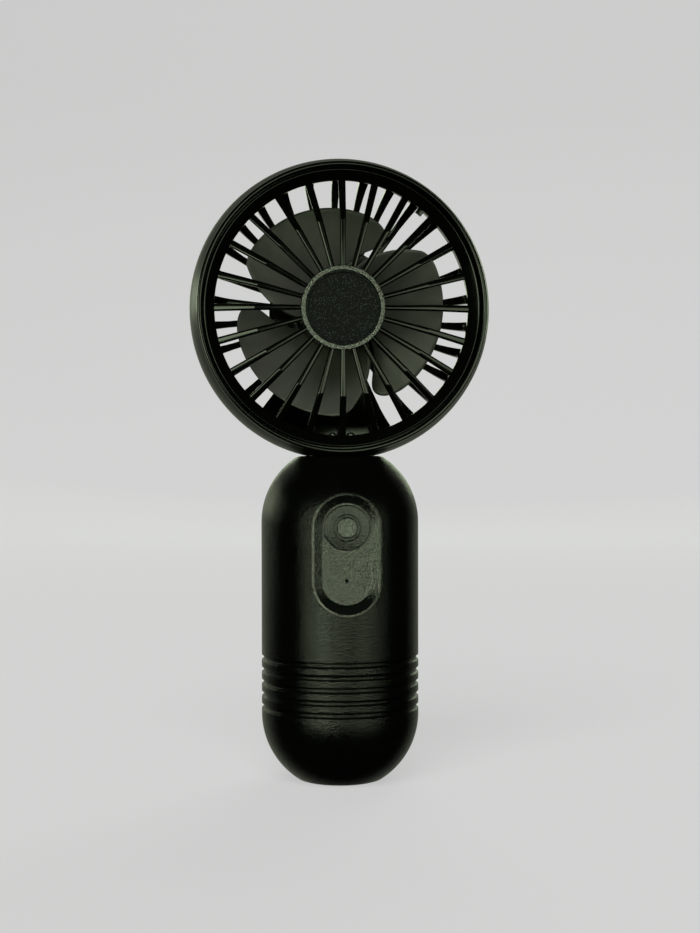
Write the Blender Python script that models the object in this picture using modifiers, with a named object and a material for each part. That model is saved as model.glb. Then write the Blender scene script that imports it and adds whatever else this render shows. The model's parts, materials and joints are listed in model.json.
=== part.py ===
"""Pocket fan: a round caged head on a pill-shaped battery handle.

Every drawing value is in millimetres and is turned into metres when a mesh is made.
The origin is the centre of the flat foot, +Z runs up the handle, and air leaves towards -Y.
Angles are in degrees, counted from +X towards +Z as seen from in front.
"""

import math

import bmesh
import bpy
from mathutils import Matrix, Vector

MM = 0.001
GAP = 0.3  # left between pieces that touch
THROUGH = 1.0  # how far a cutter runs past what it cuts

# Handle: a capsule with a flat foot and a flat shoulder
HANDLE_R = 21.6
HANDLE_WALL = 2.0
FOOT_R = 11.15
SHOULDER_R = 11.6
GRIP_LENGTH = 52.3
EDGE_ROUND = 0.6
GROOVE_COUNT = 5
GROOVE_PITCH = 3.33
GROOVE_WIDTH = 1.7
GROOVE_DEPTH = 0.55
GROOVE_FLAT = 0.4  # share of the groove's width that is at full depth
GROOVES_ABOVE_DOME = 2.0  # from the lower dome's centre up to the lowest groove

# Recessed control panel on the front of the handle
PANEL_R = 9.3
PANEL_FLOOR_R = 6.5
PANEL_CENTRES = 14.1  # from the lower end's centre to the button's
PANEL_DEPTH = 3.0
PANEL_LIP = 0.5
PANEL_FLOOR = 1.2
PANEL_TOP_DROP = 0.6  # from the upper dome's centre down to the button
PINHOLE_R = 0.55

# Power button and its switch
BEZEL_R = 6.15
BEZEL_HEIGHT = 1.0
SPIGOT_R = 4.9
BUTTON_R = 2.7
BUTTON_PROUD = 0.3
BUTTON_FLANGE_R = 3.7
BUTTON_FLANGE = 0.7
SWITCH_SIDE = 5.2
SWITCH_HEIGHT = 1.6
SWITCH_BORE = 1.2
PLUNGER_R = 1.6
PLUNGER_PROUD = 0.8
PLUNGER_HELD = 0.4
BOARD_THICKNESS = 1.2
BOARD_WIDTH = 15.0
LED_SIZE = (1.6, 0.8, 1.2)

# Battery, charging socket and handle screws
BATTERY_R = 9.2
BATTERY_LENGTH = 65.0
CELL_ROUND = 0.8
PAD_THICKNESS = 2.4
PAD_R = 7.5
PORT_WIDTH = 8.9
PORT_HEIGHT = 3.2
PORT_LENGTH = 5.0
PORT_SHELL = 0.4
PORT_BACK_WALL = 1.0
PORT_TONGUE = (6.5, 0.7, 1.0)  # width, height and how far it stops short of the mouth
PORT_BOARD_MARGIN = 1.5
PORT_SET_BACK = 0.6
PORT_ABOVE_GROOVES = 8.2
BOSS_R = 3.3
SCREW_R = 1.0
SCREW_HEAD_R = 2.0
SCREW_HEAD = 1.7
SCREW_LENGTH = 17.0
SCREW_SEAT = 12.0  # the head's seat, behind the parting plane
LOWER_SCREW_ABOVE_GROOVES = 4.2
UPPER_SCREW_DROP = 2.8

# Head housing
HEAD_R = 41.1
HEAD_SINK = 1.0  # the round head would reach this far into the shoulder, where it is cut flat
LIP_IN = 1.8  # the front lip is this much smaller in radius than the widest ring
LIP_WIDTH = 1.25
FRONT_Y = -11.3
WIDEST_Y = -1.0
BACK_Y = 15.2
BACK_R = 18.0
HEAD_WALL = 1.6
LEDGE = 1.2
LEDGE_THICKNESS = 1.2
MOUTH_CHAMFER = (0.15, 0.3)  # across and deep
BOWL_SQUARENESS = 0.75  # 1 is an ellipse, less is squarer
LIP_ROUND = 0.7
REAR_SLOT_INNER_R = 18.6
REAR_SLOT_IN = 3.6  # from the widest ring in to the slots' outer ends
REAR_RIBS = 30
REAR_RIB_WIDTH = 2.0
SOLID_SECTOR = (234.0, 294.0)

# Front grille
GRILLE_GAP = 0.3
GRILLE_RING_WIDTH = 3.25
GRILLE_RIBS = 24
GRILLE_RIB_WIDTH = 1.7
GRILLE_RIB_DEPTH = 2.2
GRILLE_RIB_SET_BACK = 0.3
GRILLE_RIB_END = 1.4  # depth at the ring
GRILLE_RIB_REACH = 1.2  # how far a rib runs into the ring
GRILLE_BEND_R = 24.0
GRILLE_HUB_R = 11.45
GRILLE_HUB_DEPTH = 2.6
GRILLE_FACE_Y = -11.0
RING_FRONT_Y = -9.4
RING_INNER_Y = -8.2
RING_BACK_Y = -6.5
BADGE_R = 10.05
BADGE_DEPTH = 1.2
BADGE_RIM = 0.45
BADGE_DISH = 0.3
BADGE_SET_BACK = 0.15
CATCH_ANGLE = 51.0
CATCH_SIZE = 1.9
CATCH_ROOT = 0.6  # how far it runs into the ring
CATCH_PROUD = 0.2

# Neck: a post clamped in the handle that the head is screwed to
POST_HALF_WIDTH = 7.0
POST_FRONT_Y = -3.5
POST_BACK_Y = 5.5
POST_HEIGHT = 6.2
POCKET_WALL = 1.5
COLLAR_THICKNESS = 3.3
NECK_SCREW_X = 2.5
NECK_SCREW_R = 0.8
NECK_SCREW_HEAD_R = 1.3
NECK_SCREW_HEAD = 0.9
NECK_SCREW_LENGTH = 6.0

# Motor, turning on the head's axis
SHAFT_R = 1.0
SHAFT_END_GAP = 0.8
BEARING_R = 2.5
BEARING_LENGTH = 3.0
BEARING_SET_BACK = 0.8
TUBE_WALL = 0.7
TUBE_FRONT_Y = -1.0
MOTOR_PLATE_R = 8.8
MOTOR_PLATE = 1.2
STATOR_R = 8.2
STATOR_Y = (1.5, 7.5)
MOTOR_BOARD_Y = (8.6, 9.6)
MAGNET_WALL = 0.9
MAGNET_Y = (1.0, 8.0)
AIR_GAP = 0.5
CLIP_WALL = 0.9
CLIP_THICKNESS = 0.6
MOTOR_SCREW_RADIUS = 6.4
MOTOR_SCREW_SINK = 0.1
MOTOR_SCREW_HEAD = 0.6

# Impeller
HUB_WALL = 1.0
HUB_FRONT_Y = -3.2
HUB_BACK_Y = 10.4
HUB_FACE = 1.2
HUB_BOSS_R = 2.6
HUB_BOSS = 2.0
HUB_ROUND = 1.0
SHAFT_SEAT = 1.0  # plastic in front of the shaft's end
BLADES = 3
BLADE_TIP_R = 29.4
BLADE_TIP_FALL = 1.8  # how much shorter a blade gets towards its leading edge
BLADE_MEASURED_R = 23.6  # where the trailing angle and the span are measured
BLADE_TRAIL_ANGLE = 285.0
BLADE_SPAN = 114.0
BLADE_TRAIL_SWEEP = 2.13  # degrees that this edge falls back for each mm of radius
BLADE_LEAD_SWEEP = 2.74
BLADE_TRAIL_Y = -2.0  # nearer the grille, so that air leaves forwards when it turns clockwise
BLADE_LEAD_Y = 9.8
BLADE_CAMBER = 1.1
BLADE_THICKNESS = 1.0
BLADE_TRAIL_CORNER = 1.2
BLADE_LEAD_CORNER = 5.0
BLADE_TRAIL_REACH = 0.08  # each corner's share of the blade's span
BLADE_LEAD_REACH = 0.2
BLADE_COLUMNS = 12
BLADE_ROWS = 4

# Values worked out from the ones above
INNER_R = HANDLE_R - HANDLE_WALL
LOW_ARC_Z = math.sqrt(HANDLE_R**2 - FOOT_R**2)
HIGH_ARC_Z = LOW_ARC_Z + GRIP_LENGTH
HANDLE_TOP = HIGH_ARC_Z + math.sqrt(HANDLE_R**2 - SHOULDER_R**2)
GROOVE_LOWEST_Z = LOW_ARC_Z + GROOVES_ABOVE_DOME
GROOVES_TOP_Z = GROOVE_LOWEST_Z + GROOVE_PITCH * (GROOVE_COUNT - 1)
BUTTON_Z = HIGH_ARC_Z - PANEL_TOP_DROP
PANEL_LOW_Z = BUTTON_Z - PANEL_CENTRES
FLOOR_Y = -HANDLE_R + PANEL_DEPTH
FLOOR_BACK_Y = FLOOR_Y + PANEL_FLOOR
BEZEL_FRONT_Y = FLOOR_Y - GAP - BEZEL_HEIGHT
SPIGOT_BACK_Y = FLOOR_BACK_Y + GAP
BUTTON_BACK_Y = SPIGOT_BACK_Y + GAP + BUTTON_FLANGE
PLUNGER_TIP_Y = BUTTON_BACK_Y + GAP
SWITCH_FRONT_Y = PLUNGER_TIP_Y + PLUNGER_PROUD
SWITCH_BACK_Y = SWITCH_FRONT_Y + SWITCH_HEIGHT
BOARD_FRONT_Y = SWITCH_BACK_Y + GAP
BOARD_BACK_Y = BOARD_FRONT_Y + BOARD_THICKNESS
PORT_BACK_Y = HANDLE_R - PORT_SET_BACK
PORT_FRONT_Y = PORT_BACK_Y - PORT_LENGTH
PORT_BOARD_Y = PORT_FRONT_Y - GAP - BOARD_THICKNESS
PORT_Z = GROOVES_TOP_Z + PORT_ABOVE_GROOVES
BATTERY_Y = (BOARD_BACK_Y + PORT_BOARD_Y) / 2
BATTERY_Z = HANDLE_WALL + GAP + PAD_THICKNESS + GAP
BOSS_X = (BATTERY_R + INNER_R) / 2
SCREW_HEIGHTS = (GROOVES_TOP_Z + LOWER_SCREW_ABOVE_GROOVES, HIGH_ARC_Z - UPPER_SCREW_DROP)
HEAD_Z = HANDLE_TOP - HEAD_SINK + HEAD_R
HEAD_CUT_Z = HANDLE_TOP + GAP
LIP_R = HEAD_R - LIP_IN
MOUTH_R = LIP_R - LIP_WIDTH
RING_R = MOUTH_R - GRILLE_GAP
GRILLE_OPENING_R = RING_R - GRILLE_RING_WIDTH
REAR_SLOT_OUTER_R = HEAD_R - REAR_SLOT_IN
POST_TOP_Z = HEAD_CUT_Z + POST_HEIGHT
POCKET_FRONT_Y = POST_FRONT_Y - GAP - POCKET_WALL
NECK_SCREW_Z = POST_TOP_Z - NECK_SCREW_HEAD_R
INNER_TOP = HANDLE_TOP - HANDLE_WALL
COLLAR_R = math.sqrt(INNER_R**2 - (INNER_TOP - HIGH_ARC_Z) ** 2) - GAP
HUB_R = STATOR_R + AIR_GAP + MAGNET_WALL + GAP + HUB_WALL
TUBE_BORE_R = BEARING_R + GAP
TUBE_R = TUBE_BORE_R + TUBE_WALL
PLATE_BACK_Y = BACK_Y - HEAD_WALL - GAP
PLATE_FRONT_Y = PLATE_BACK_Y - MOTOR_PLATE
SHAFT_BACK_Y = PLATE_FRONT_Y - SHAFT_END_GAP

TURN_STEPS = 48  # round the handle and the head
RING_STEPS = 72
HUB_STEPS = 32
HOLLOW_STEPS = 28
SMALL_STEPS = 20
SCREW_STEPS = 12
DOME_ROWS = 7
HOLLOW_ROWS = 4
BOWL_ROWS = 6
FINE_ANGLE = math.radians(32)
TO_FRONT = (math.radians(90), 0, 0)  # turns a piece drawn along +Z so that it points at -Y


def clear_scene():
    for obj in list(bpy.data.objects):
        bpy.data.objects.remove(obj, do_unlink=True)
    for found in list(bpy.data.collections):
        bpy.data.collections.remove(found)


def new_collection(name):
    collection = bpy.data.collections.new(name)
    bpy.context.scene.collection.children.link(collection)
    return collection


def make_material(name, colour, roughness, metallic=0.0):
    """A plain finish; colour is linear red, green and blue."""
    made = bpy.data.materials.new(name)
    made.use_nodes = True
    shader = made.node_tree.nodes["Principled BSDF"]
    shader.inputs["Base Color"].default_value = (*colour, 1.0)
    shader.inputs["Roughness"].default_value = roughness
    shader.inputs["Metallic"].default_value = metallic
    return made


def add_object(name, mesh, collection, finish=None):
    obj = bpy.data.objects.new(name, mesh)
    collection.objects.link(obj)
    if finish:
        mesh.materials.append(finish)
    return obj


def as_cutter(obj):
    obj.hide_render = True
    obj.display_type = "WIRE"
    return obj


def lathe(name, profile, collection, finish=None, steps=SMALL_STEPS, closed=False):
    """Turns (radius, height) points about local Z. The outer side runs from the top down."""
    mesh = bpy.data.meshes.new(name)
    points = [(radius * MM, 0.0, height * MM) for radius, height in profile]
    edges = [(i, i + 1) for i in range(len(points) - 1)]
    if closed:
        edges.append((len(points) - 1, 0))
    mesh.from_pydata(points, edges, [])
    obj = add_object(name, mesh, collection, finish)
    screw = obj.modifiers.new("Turn", "SCREW")
    screw.axis = "Z"
    screw.steps = steps
    screw.render_steps = steps
    screw.use_merge_vertices = True
    screw.merge_threshold = 1e-6
    screw.use_smooth_shade = True
    return obj


def lathe_forward(name, profile, collection, centre, finish=None, steps=SMALL_STEPS, closed=False):
    """Turns (radius, y) points, front end first, about the line along Y through centre."""
    drawn = [(radius, -y) for radius, y in profile]
    obj = lathe(name, drawn, collection, finish, steps, closed)
    obj.rotation_euler = TO_FRONT
    obj.location = Vector(centre) * MM
    return obj


def solid_disc(radius, front, back):
    return [(0, front), (radius, front), (radius, back), (0, back)]


def ring(inner, outer, front, back):
    return [(inner, front), (outer, front), (outer, back), (inner, back)]


def box(name, low, high, collection, finish=None, rounding=0.0):
    """A block between two corners, with its upright edges rounded when rounding is given."""
    mesh = bpy.data.meshes.new(name)
    shape = bmesh.new()
    bmesh.ops.create_cube(shape, size=1.0)
    size = [(b - a) * MM for a, b in zip(low, high)]
    bmesh.ops.scale(shape, vec=size, verts=shape.verts)
    shape.to_mesh(mesh)
    shape.free()
    obj = add_object(name, mesh, collection, finish)
    obj.location = [(a + b) / 2 * MM for a, b in zip(low, high)]
    if rounding:
        bevel = obj.modifiers.new("Rounding", "BEVEL")
        bevel.width = rounding * MM
        bevel.segments = 3
    return obj


def flat_shapes(name, outlines, low, high, collection, finish=None):
    """Closed (across, up) outlines filled and extruded along local Z between two heights."""
    curve = bpy.data.curves.new(name, "CURVE")
    curve.dimensions = "2D"
    curve.fill_mode = "BOTH"
    curve.extrude = (high - low) / 2 * MM
    for outline in outlines:
        spline = curve.splines.new("POLY")
        spline.points.add(len(outline) - 1)
        for point, (across, up) in zip(spline.points, outline):
            point.co = (across * MM, up * MM, 0.0, 1.0)
        spline.use_cyclic_u = True
    drawn = bpy.data.objects.new(name + "_outline", curve)
    bpy.context.scene.collection.objects.link(drawn)
    graph = bpy.context.evaluated_depsgraph_get()
    mesh = bpy.data.meshes.new_from_object(drawn.evaluated_get(graph))
    bpy.data.objects.remove(drawn, do_unlink=True)
    shape = bmesh.new()
    shape.from_mesh(mesh)
    bmesh.ops.remove_doubles(shape, verts=shape.verts, dist=1e-6)
    bmesh.ops.translate(shape, verts=shape.verts, vec=(0, 0, (low + high) / 2 * MM))
    bmesh.ops.recalc_face_normals(shape, faces=shape.faces)
    shape.to_mesh(mesh)
    shape.free()
    mesh.name = name
    return add_object(name, mesh, collection, finish)


def combine(target, other, operation="DIFFERENCE"):
    change = target.modifiers.new(f"{operation.title()} {other.name}", "BOOLEAN")
    change.operation = operation
    change.solver = "EXACT"
    change.object = other
    return change


def arc(centre, radius, start, end, count):
    """Points on a circle from one angle to another, both ends included."""
    angles = [math.radians(start + (end - start) * i / count) for i in range(count + 1)]
    return [(centre[0] + radius * math.cos(a), centre[1] + radius * math.sin(a)) for a in angles]


def stadium(radius, low_z, high_z, count=12):
    """An upright oval: two half circles joined by straight sides."""
    return arc((0, high_z), radius, 0, 180, count) + arc((0, low_z), radius, 180, 360, count)


def capsule(radius, foot_z, top_z, rounding=0.0, rows=DOME_ROWS):
    """Outer side of the handle or its hollow, from the shoulder down to the foot."""
    top_angle = math.degrees(math.asin((top_z - HIGH_ARC_Z) / radius))
    low_angle = math.degrees(math.asin((foot_z - LOW_ARC_Z) / radius))
    trim = math.degrees(rounding / radius)
    upper = arc((0, HIGH_ARC_Z), radius, top_angle - trim, 0, rows)
    lower = arc((0, LOW_ARC_Z), radius, 0, low_angle + trim, rows)
    shoulder_r = math.sqrt(radius**2 - (top_z - HIGH_ARC_Z) ** 2)
    foot_r = math.sqrt(radius**2 - (foot_z - LOW_ARC_Z) ** 2)
    shoulder = [(0, top_z), (shoulder_r - rounding, top_z)]
    foot = [(foot_r - rounding, foot_z), (0, foot_z)]
    return shoulder, upper, lower, foot


def grooves():
    """The finger grooves, from the highest down."""
    points = []
    for index in reversed(range(GROOVE_COUNT)):
        middle = GROOVE_LOWEST_Z + index * GROOVE_PITCH
        half = GROOVE_WIDTH / 2
        bottom_r = HANDLE_R - GROOVE_DEPTH
        points.append((HANDLE_R, middle + half))
        points.append((bottom_r, middle + half * GROOVE_FLAT))
        points.append((bottom_r, middle - half * GROOVE_FLAT))
        points.append((HANDLE_R, middle - half))
    return points


def make_handle(parts, cutters, plastic):
    shoulder, upper, lower, foot = capsule(HANDLE_R, 0.0, HANDLE_TOP, EDGE_ROUND)
    outside = shoulder + upper + grooves() + lower + foot
    hollow_profile = sum(capsule(INNER_R, HANDLE_WALL, INNER_TOP, rows=HOLLOW_ROWS), [])
    hollow = as_cutter(lathe("handle_hollow", hollow_profile, cutters, steps=HOLLOW_STEPS))
    for number, (x, z) in enumerate(screw_places()):
        column = lathe_forward(
            f"boss_column_{number}",
            solid_disc(BOSS_R, -HANDLE_R, HANDLE_R),
            cutters,
            (x, 0, z),
            steps=SCREW_STEPS,
        )
        combine(hollow, as_cutter(column))

    reach = HANDLE_R + THROUGH
    low, high = -THROUGH, HANDLE_TOP + THROUGH
    behind = as_cutter(box("behind_parting", (-reach, -GAP / 2, low), (reach, reach, high), cutters))
    ahead = as_cutter(box("ahead_of_parting", (-reach, -reach, low), (reach, GAP / 2, high), cutters))
    post_hole = box(
        "post_hole",
        (-POST_HALF_WIDTH - GAP, POST_FRONT_Y - GAP, INNER_TOP - THROUGH),
        (POST_HALF_WIDTH + GAP, POST_BACK_Y + GAP, HANDLE_TOP + THROUGH),
        cutters,
    )
    as_cutter(post_hole)
    front = lathe("handle_front_shell", outside, parts, plastic, TURN_STEPS)
    rear = lathe("handle_rear_shell", outside, parts, plastic, TURN_STEPS)
    for shell, other_half in ((front, behind), (rear, ahead)):
        combine(shell, other_half)
        combine(shell, hollow)
        combine(shell, post_hole)
    return front, rear


def screw_places():
    """Where the handle's screws stand, as (x, z)."""
    return [(side * BOSS_X, z) for z in SCREW_HEIGHTS for side in (-1, 1)]


def make_handle_screws(parts, cutters, steel, front, rear):
    names = ("lower_left", "lower_right", "upper_left", "upper_right")
    tip = SCREW_SEAT + GAP - SCREW_LENGTH
    head_back = SCREW_SEAT + GAP + SCREW_HEAD
    for name, (x, z) in zip(names, screw_places()):
        shape = [
            (0, tip),
            (SCREW_R, tip),
            (SCREW_R, SCREW_SEAT + GAP),
            (SCREW_HEAD_R, SCREW_SEAT + GAP),
            (SCREW_HEAD_R, head_back),
            (0, head_back),
        ]
        lathe_forward(f"handle_screw_{name}", shape, parts, (x, 0, z), steel, SCREW_STEPS)
        hole = [
            (0, tip - THROUGH),
            (SCREW_R + GAP, tip - THROUGH),
            (SCREW_R + GAP, SCREW_SEAT),
            (SCREW_HEAD_R + GAP, SCREW_SEAT),
            (SCREW_HEAD_R + GAP, HANDLE_R + THROUGH),
            (0, HANDLE_R + THROUGH),
        ]
        drill = lathe_forward(f"screw_hole_{name}", hole, cutters, (x, 0, z), steps=SCREW_STEPS)
        cutter = as_cutter(drill)
        combine(front, cutter)
        combine(rear, cutter)


def tapered_stadium(name, floor_radius, floor_y, mouth_radius, mouth_y, collection):
    """The hollow between a smaller oval at floor_y and a larger one at mouth_y."""
    mesh = bpy.data.meshes.new(name)
    shape = bmesh.new()
    for radius, y in ((floor_radius, floor_y), (mouth_radius, mouth_y)):
        for x, z in stadium(radius, PANEL_LOW_Z, BUTTON_Z):
            shape.verts.new((x * MM, y * MM, z * MM))
    bmesh.ops.convex_hull(shape, input=shape.verts)
    bmesh.ops.recalc_face_normals(shape, faces=shape.faces)
    shape.to_mesh(mesh)
    shape.free()
    return add_object(name, mesh, collection)


def make_panel(parts, cutters, gloss, front):
    opening = flat_shapes(
        "panel_opening",
        [stadium(PANEL_R, PANEL_LOW_Z, BUTTON_Z)],
        0,
        HANDLE_R + THROUGH,
        cutters,
    )
    opening.rotation_euler = TO_FRONT
    combine(front, as_cutter(opening))

    body_r = PANEL_R - GAP
    panel = flat_shapes(
        "control_panel",
        [stadium(body_r, PANEL_LOW_Z, BUTTON_Z)],
        -FLOOR_BACK_Y,
        HANDLE_R + THROUGH,
        parts,
        gloss,
    )
    panel.rotation_euler = TO_FRONT
    skin = [(HANDLE_R, HANDLE_TOP), (HANDLE_R, 0)]
    surround = lathe("grip_surface", [(0, HANDLE_TOP), *skin, (0, 0)], cutters, steps=TURN_STEPS)
    combine(panel, as_cutter(surround), "INTERSECT")
    slope = (body_r - PANEL_LIP - PANEL_FLOOR_R) / PANEL_DEPTH
    mouth_y = -HANDLE_R - THROUGH
    mouth_r = PANEL_FLOOR_R + slope * (FLOOR_Y - mouth_y)
    dish = tapered_stadium("panel_dish", PANEL_FLOOR_R, FLOOR_Y, mouth_r, mouth_y, cutters)
    combine(panel, as_cutter(dish))
    for name, radius, z in (
        ("bezel_hole", SPIGOT_R + GAP, BUTTON_Z),
        ("pinhole", PINHOLE_R, PANEL_LOW_Z),
    ):
        drill = lathe_forward(name, solid_disc(radius, -HANDLE_R, 0), cutters, (0, 0, z))
        combine(panel, as_cutter(drill))


def make_button(parts, satin, dark):
    centre = (0, 0, BUTTON_Z)
    bezel = [
        (BUTTON_R + GAP, BEZEL_FRONT_Y),
        (BEZEL_R, BEZEL_FRONT_Y),
        (BEZEL_R, FLOOR_Y - GAP),
        (SPIGOT_R, FLOOR_Y - GAP),
        (SPIGOT_R, SPIGOT_BACK_Y),
        (BUTTON_R + GAP, SPIGOT_BACK_Y),
    ]
    lathe_forward("button_bezel", bezel, parts, centre, satin, closed=True)
    button_front = BEZEL_FRONT_Y - BUTTON_PROUD
    button = [
        (0, button_front),
        (BUTTON_R - BUTTON_PROUD, button_front),
        (BUTTON_R, BEZEL_FRONT_Y),
        (BUTTON_R, SPIGOT_BACK_Y + GAP),
        (BUTTON_FLANGE_R, SPIGOT_BACK_Y + GAP),
        (BUTTON_FLANGE_R, BUTTON_BACK_Y),
        (0, BUTTON_BACK_Y),
    ]
    lathe_forward("power_button", button, parts, centre, satin)
    plunger_back = SWITCH_FRONT_Y + PLUNGER_HELD
    plunger = solid_disc(PLUNGER_R, PLUNGER_TIP_Y, plunger_back)
    lathe_forward("switch_plunger", plunger, parts, centre, dark)


def make_boards(parts, cutters, board, dark, white):
    half = SWITCH_SIDE / 2
    body = box(
        "switch_body",
        (-half, SWITCH_FRONT_Y, BUTTON_Z - half),
        (half, SWITCH_BACK_Y, BUTTON_Z + half),
        parts,
        dark,
    )
    socket = solid_disc(PLUNGER_R + GAP, SWITCH_FRONT_Y - THROUGH, SWITCH_FRONT_Y + SWITCH_BORE)
    combine(body, as_cutter(lathe_forward("plunger_socket", socket, cutters, (0, 0, BUTTON_Z))))
    margin = SWITCH_SIDE
    box(
        "circuit_board",
        (-BOARD_WIDTH / 2, BOARD_FRONT_Y, PANEL_LOW_Z - margin),
        (BOARD_WIDTH / 2, BOARD_BACK_Y, BUTTON_Z + margin),
        parts,
        board,
    )
    width, depth, height = LED_SIZE
    box(
        "indicator_led",
        (-width / 2, BOARD_FRONT_Y - GAP - depth, PANEL_LOW_Z - height / 2),
        (width / 2, BOARD_FRONT_Y - GAP, PANEL_LOW_Z + height / 2),
        parts,
        white,
    )
    side = PORT_WIDTH / 2 + PORT_BOARD_MARGIN
    box(
        "charging_board",
        (-side, PORT_BOARD_Y, PORT_Z - side),
        (side, PORT_BOARD_Y + BOARD_THICKNESS, PORT_Z + side),
        parts,
        board,
    )


def make_port(parts, cutters, steel, rear):
    def slab(name, grow, front_y, back_y, collection, finish=None):
        half_height = PORT_HEIGHT / 2 + grow
        offset = (PORT_WIDTH - PORT_HEIGHT) / 2
        outline = arc((offset, 0), half_height, -90, 90, 6) + arc((-offset, 0), half_height, 90, 270, 6)
        made = flat_shapes(name, [outline], -back_y, -front_y, collection, finish)
        made.rotation_euler = TO_FRONT
        made.location = (0, 0, PORT_Z * MM)
        return made

    shell = slab("charging_port", 0, PORT_FRONT_Y, PORT_BACK_Y, parts, steel)
    inside = slab("port_inside", -PORT_SHELL, PORT_FRONT_Y + PORT_BACK_WALL, PORT_BACK_Y + THROUGH, cutters)
    combine(shell, as_cutter(inside))
    width, height, short = PORT_TONGUE
    tongue = box(
        "port_tongue",
        (-width / 2, PORT_FRONT_Y + PORT_BACK_WALL / 2, PORT_Z - height / 2),
        (width / 2, PORT_BACK_Y - short, PORT_Z + height / 2),
        cutters,
    )
    combine(shell, as_cutter(tongue), "UNION")
    opening = slab("port_opening", GAP, PORT_BOARD_Y + BOARD_THICKNESS, HANDLE_R + THROUGH, cutters)
    combine(rear, as_cutter(opening))


def make_battery(parts, wrap, foam):
    cell_top = BATTERY_Z + BATTERY_LENGTH
    cell = lathe(
        "battery_cell",
        [
            (0, cell_top),
            (BATTERY_R - CELL_ROUND, cell_top),
            (BATTERY_R, cell_top - CELL_ROUND),
            (BATTERY_R, BATTERY_Z),
            (0, BATTERY_Z),
        ],
        parts,
        wrap,
    )
    cell.location = (0, BATTERY_Y * MM, 0)
    pad = lathe("battery_pad", solid_disc(PAD_R, BATTERY_Z - GAP, HANDLE_WALL + GAP), parts, foam)
    pad.location = cell.location


def make_neck(parts, cutters, plastic, steel):
    post = box(
        "neck_post",
        (-POST_HALF_WIDTH, POST_FRONT_Y, INNER_TOP - GAP - COLLAR_THICKNESS / 2),
        (POST_HALF_WIDTH, POST_BACK_Y, POST_TOP_Z),
        parts,
        plastic,
    )
    collar_top = INNER_TOP - GAP
    collar = lathe("neck_collar", solid_disc(COLLAR_R, collar_top, collar_top - COLLAR_THICKNESS), cutters)
    combine(post, as_cutter(collar), "UNION")
    seat = POCKET_FRONT_Y - GAP
    tip = seat + NECK_SCREW_LENGTH
    holes = []
    for side, x in (("left", -NECK_SCREW_X), ("right", NECK_SCREW_X)):
        centre = (x, 0, NECK_SCREW_Z)
        shape = [
            (0, seat - NECK_SCREW_HEAD),
            (NECK_SCREW_HEAD_R, seat - NECK_SCREW_HEAD),
            (NECK_SCREW_HEAD_R, seat),
            (NECK_SCREW_R, seat),
            (NECK_SCREW_R, tip),
            (0, tip),
        ]
        lathe_forward(f"neck_screw_{side}", shape, parts, centre, steel, steps=SCREW_STEPS)
        hole = solid_disc(NECK_SCREW_R + GAP, seat - NECK_SCREW_HEAD, tip + GAP)
        cutter = as_cutter(lathe_forward(f"neck_hole_{side}", hole, cutters, centre, steps=SCREW_STEPS))
        combine(post, cutter)
        holes.append(cutter)
    return holes


def bowl(depth_in, count):
    """Half a squared-off ellipse from the widest ring round to the back plate."""
    points = []
    for index in range(count + 1):
        angle = math.radians(90 * index / count)
        across = (HEAD_R - BACK_R - depth_in) * math.cos(angle) ** BOWL_SQUARENESS
        along = (BACK_Y - WIDEST_Y - depth_in) * math.sin(angle) ** BOWL_SQUARENESS
        points.append((BACK_R + across, WIDEST_Y + along))
    return points


def barrel(count):
    """The slight bulge of the side wall, from the lip back to the widest ring."""
    start = FRONT_Y + LIP_ROUND
    points = []
    for index in range(count):
        share = 1 - index / count
        points.append((HEAD_R - (HEAD_R - LIP_R) * share**2, WIDEST_Y + (start - WIDEST_Y) * share))
    return points


def rear_slot(angle):
    """One opening between two parallel-sided ribs, as (x, z) about the head's axis."""
    half_pitch = math.radians(180 / REAR_RIBS)
    middle = math.radians(angle)
    corners = []
    for radius, side in (
        (REAR_SLOT_INNER_R, -1),
        (REAR_SLOT_OUTER_R, -1),
        (REAR_SLOT_OUTER_R, 1),
        (REAR_SLOT_INNER_R, 1),
    ):
        turn = middle + side * (half_pitch - math.asin(REAR_RIB_WIDTH / 2 / radius))
        corners.append((radius * math.cos(turn), radius * math.sin(turn)))
    return corners


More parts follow.
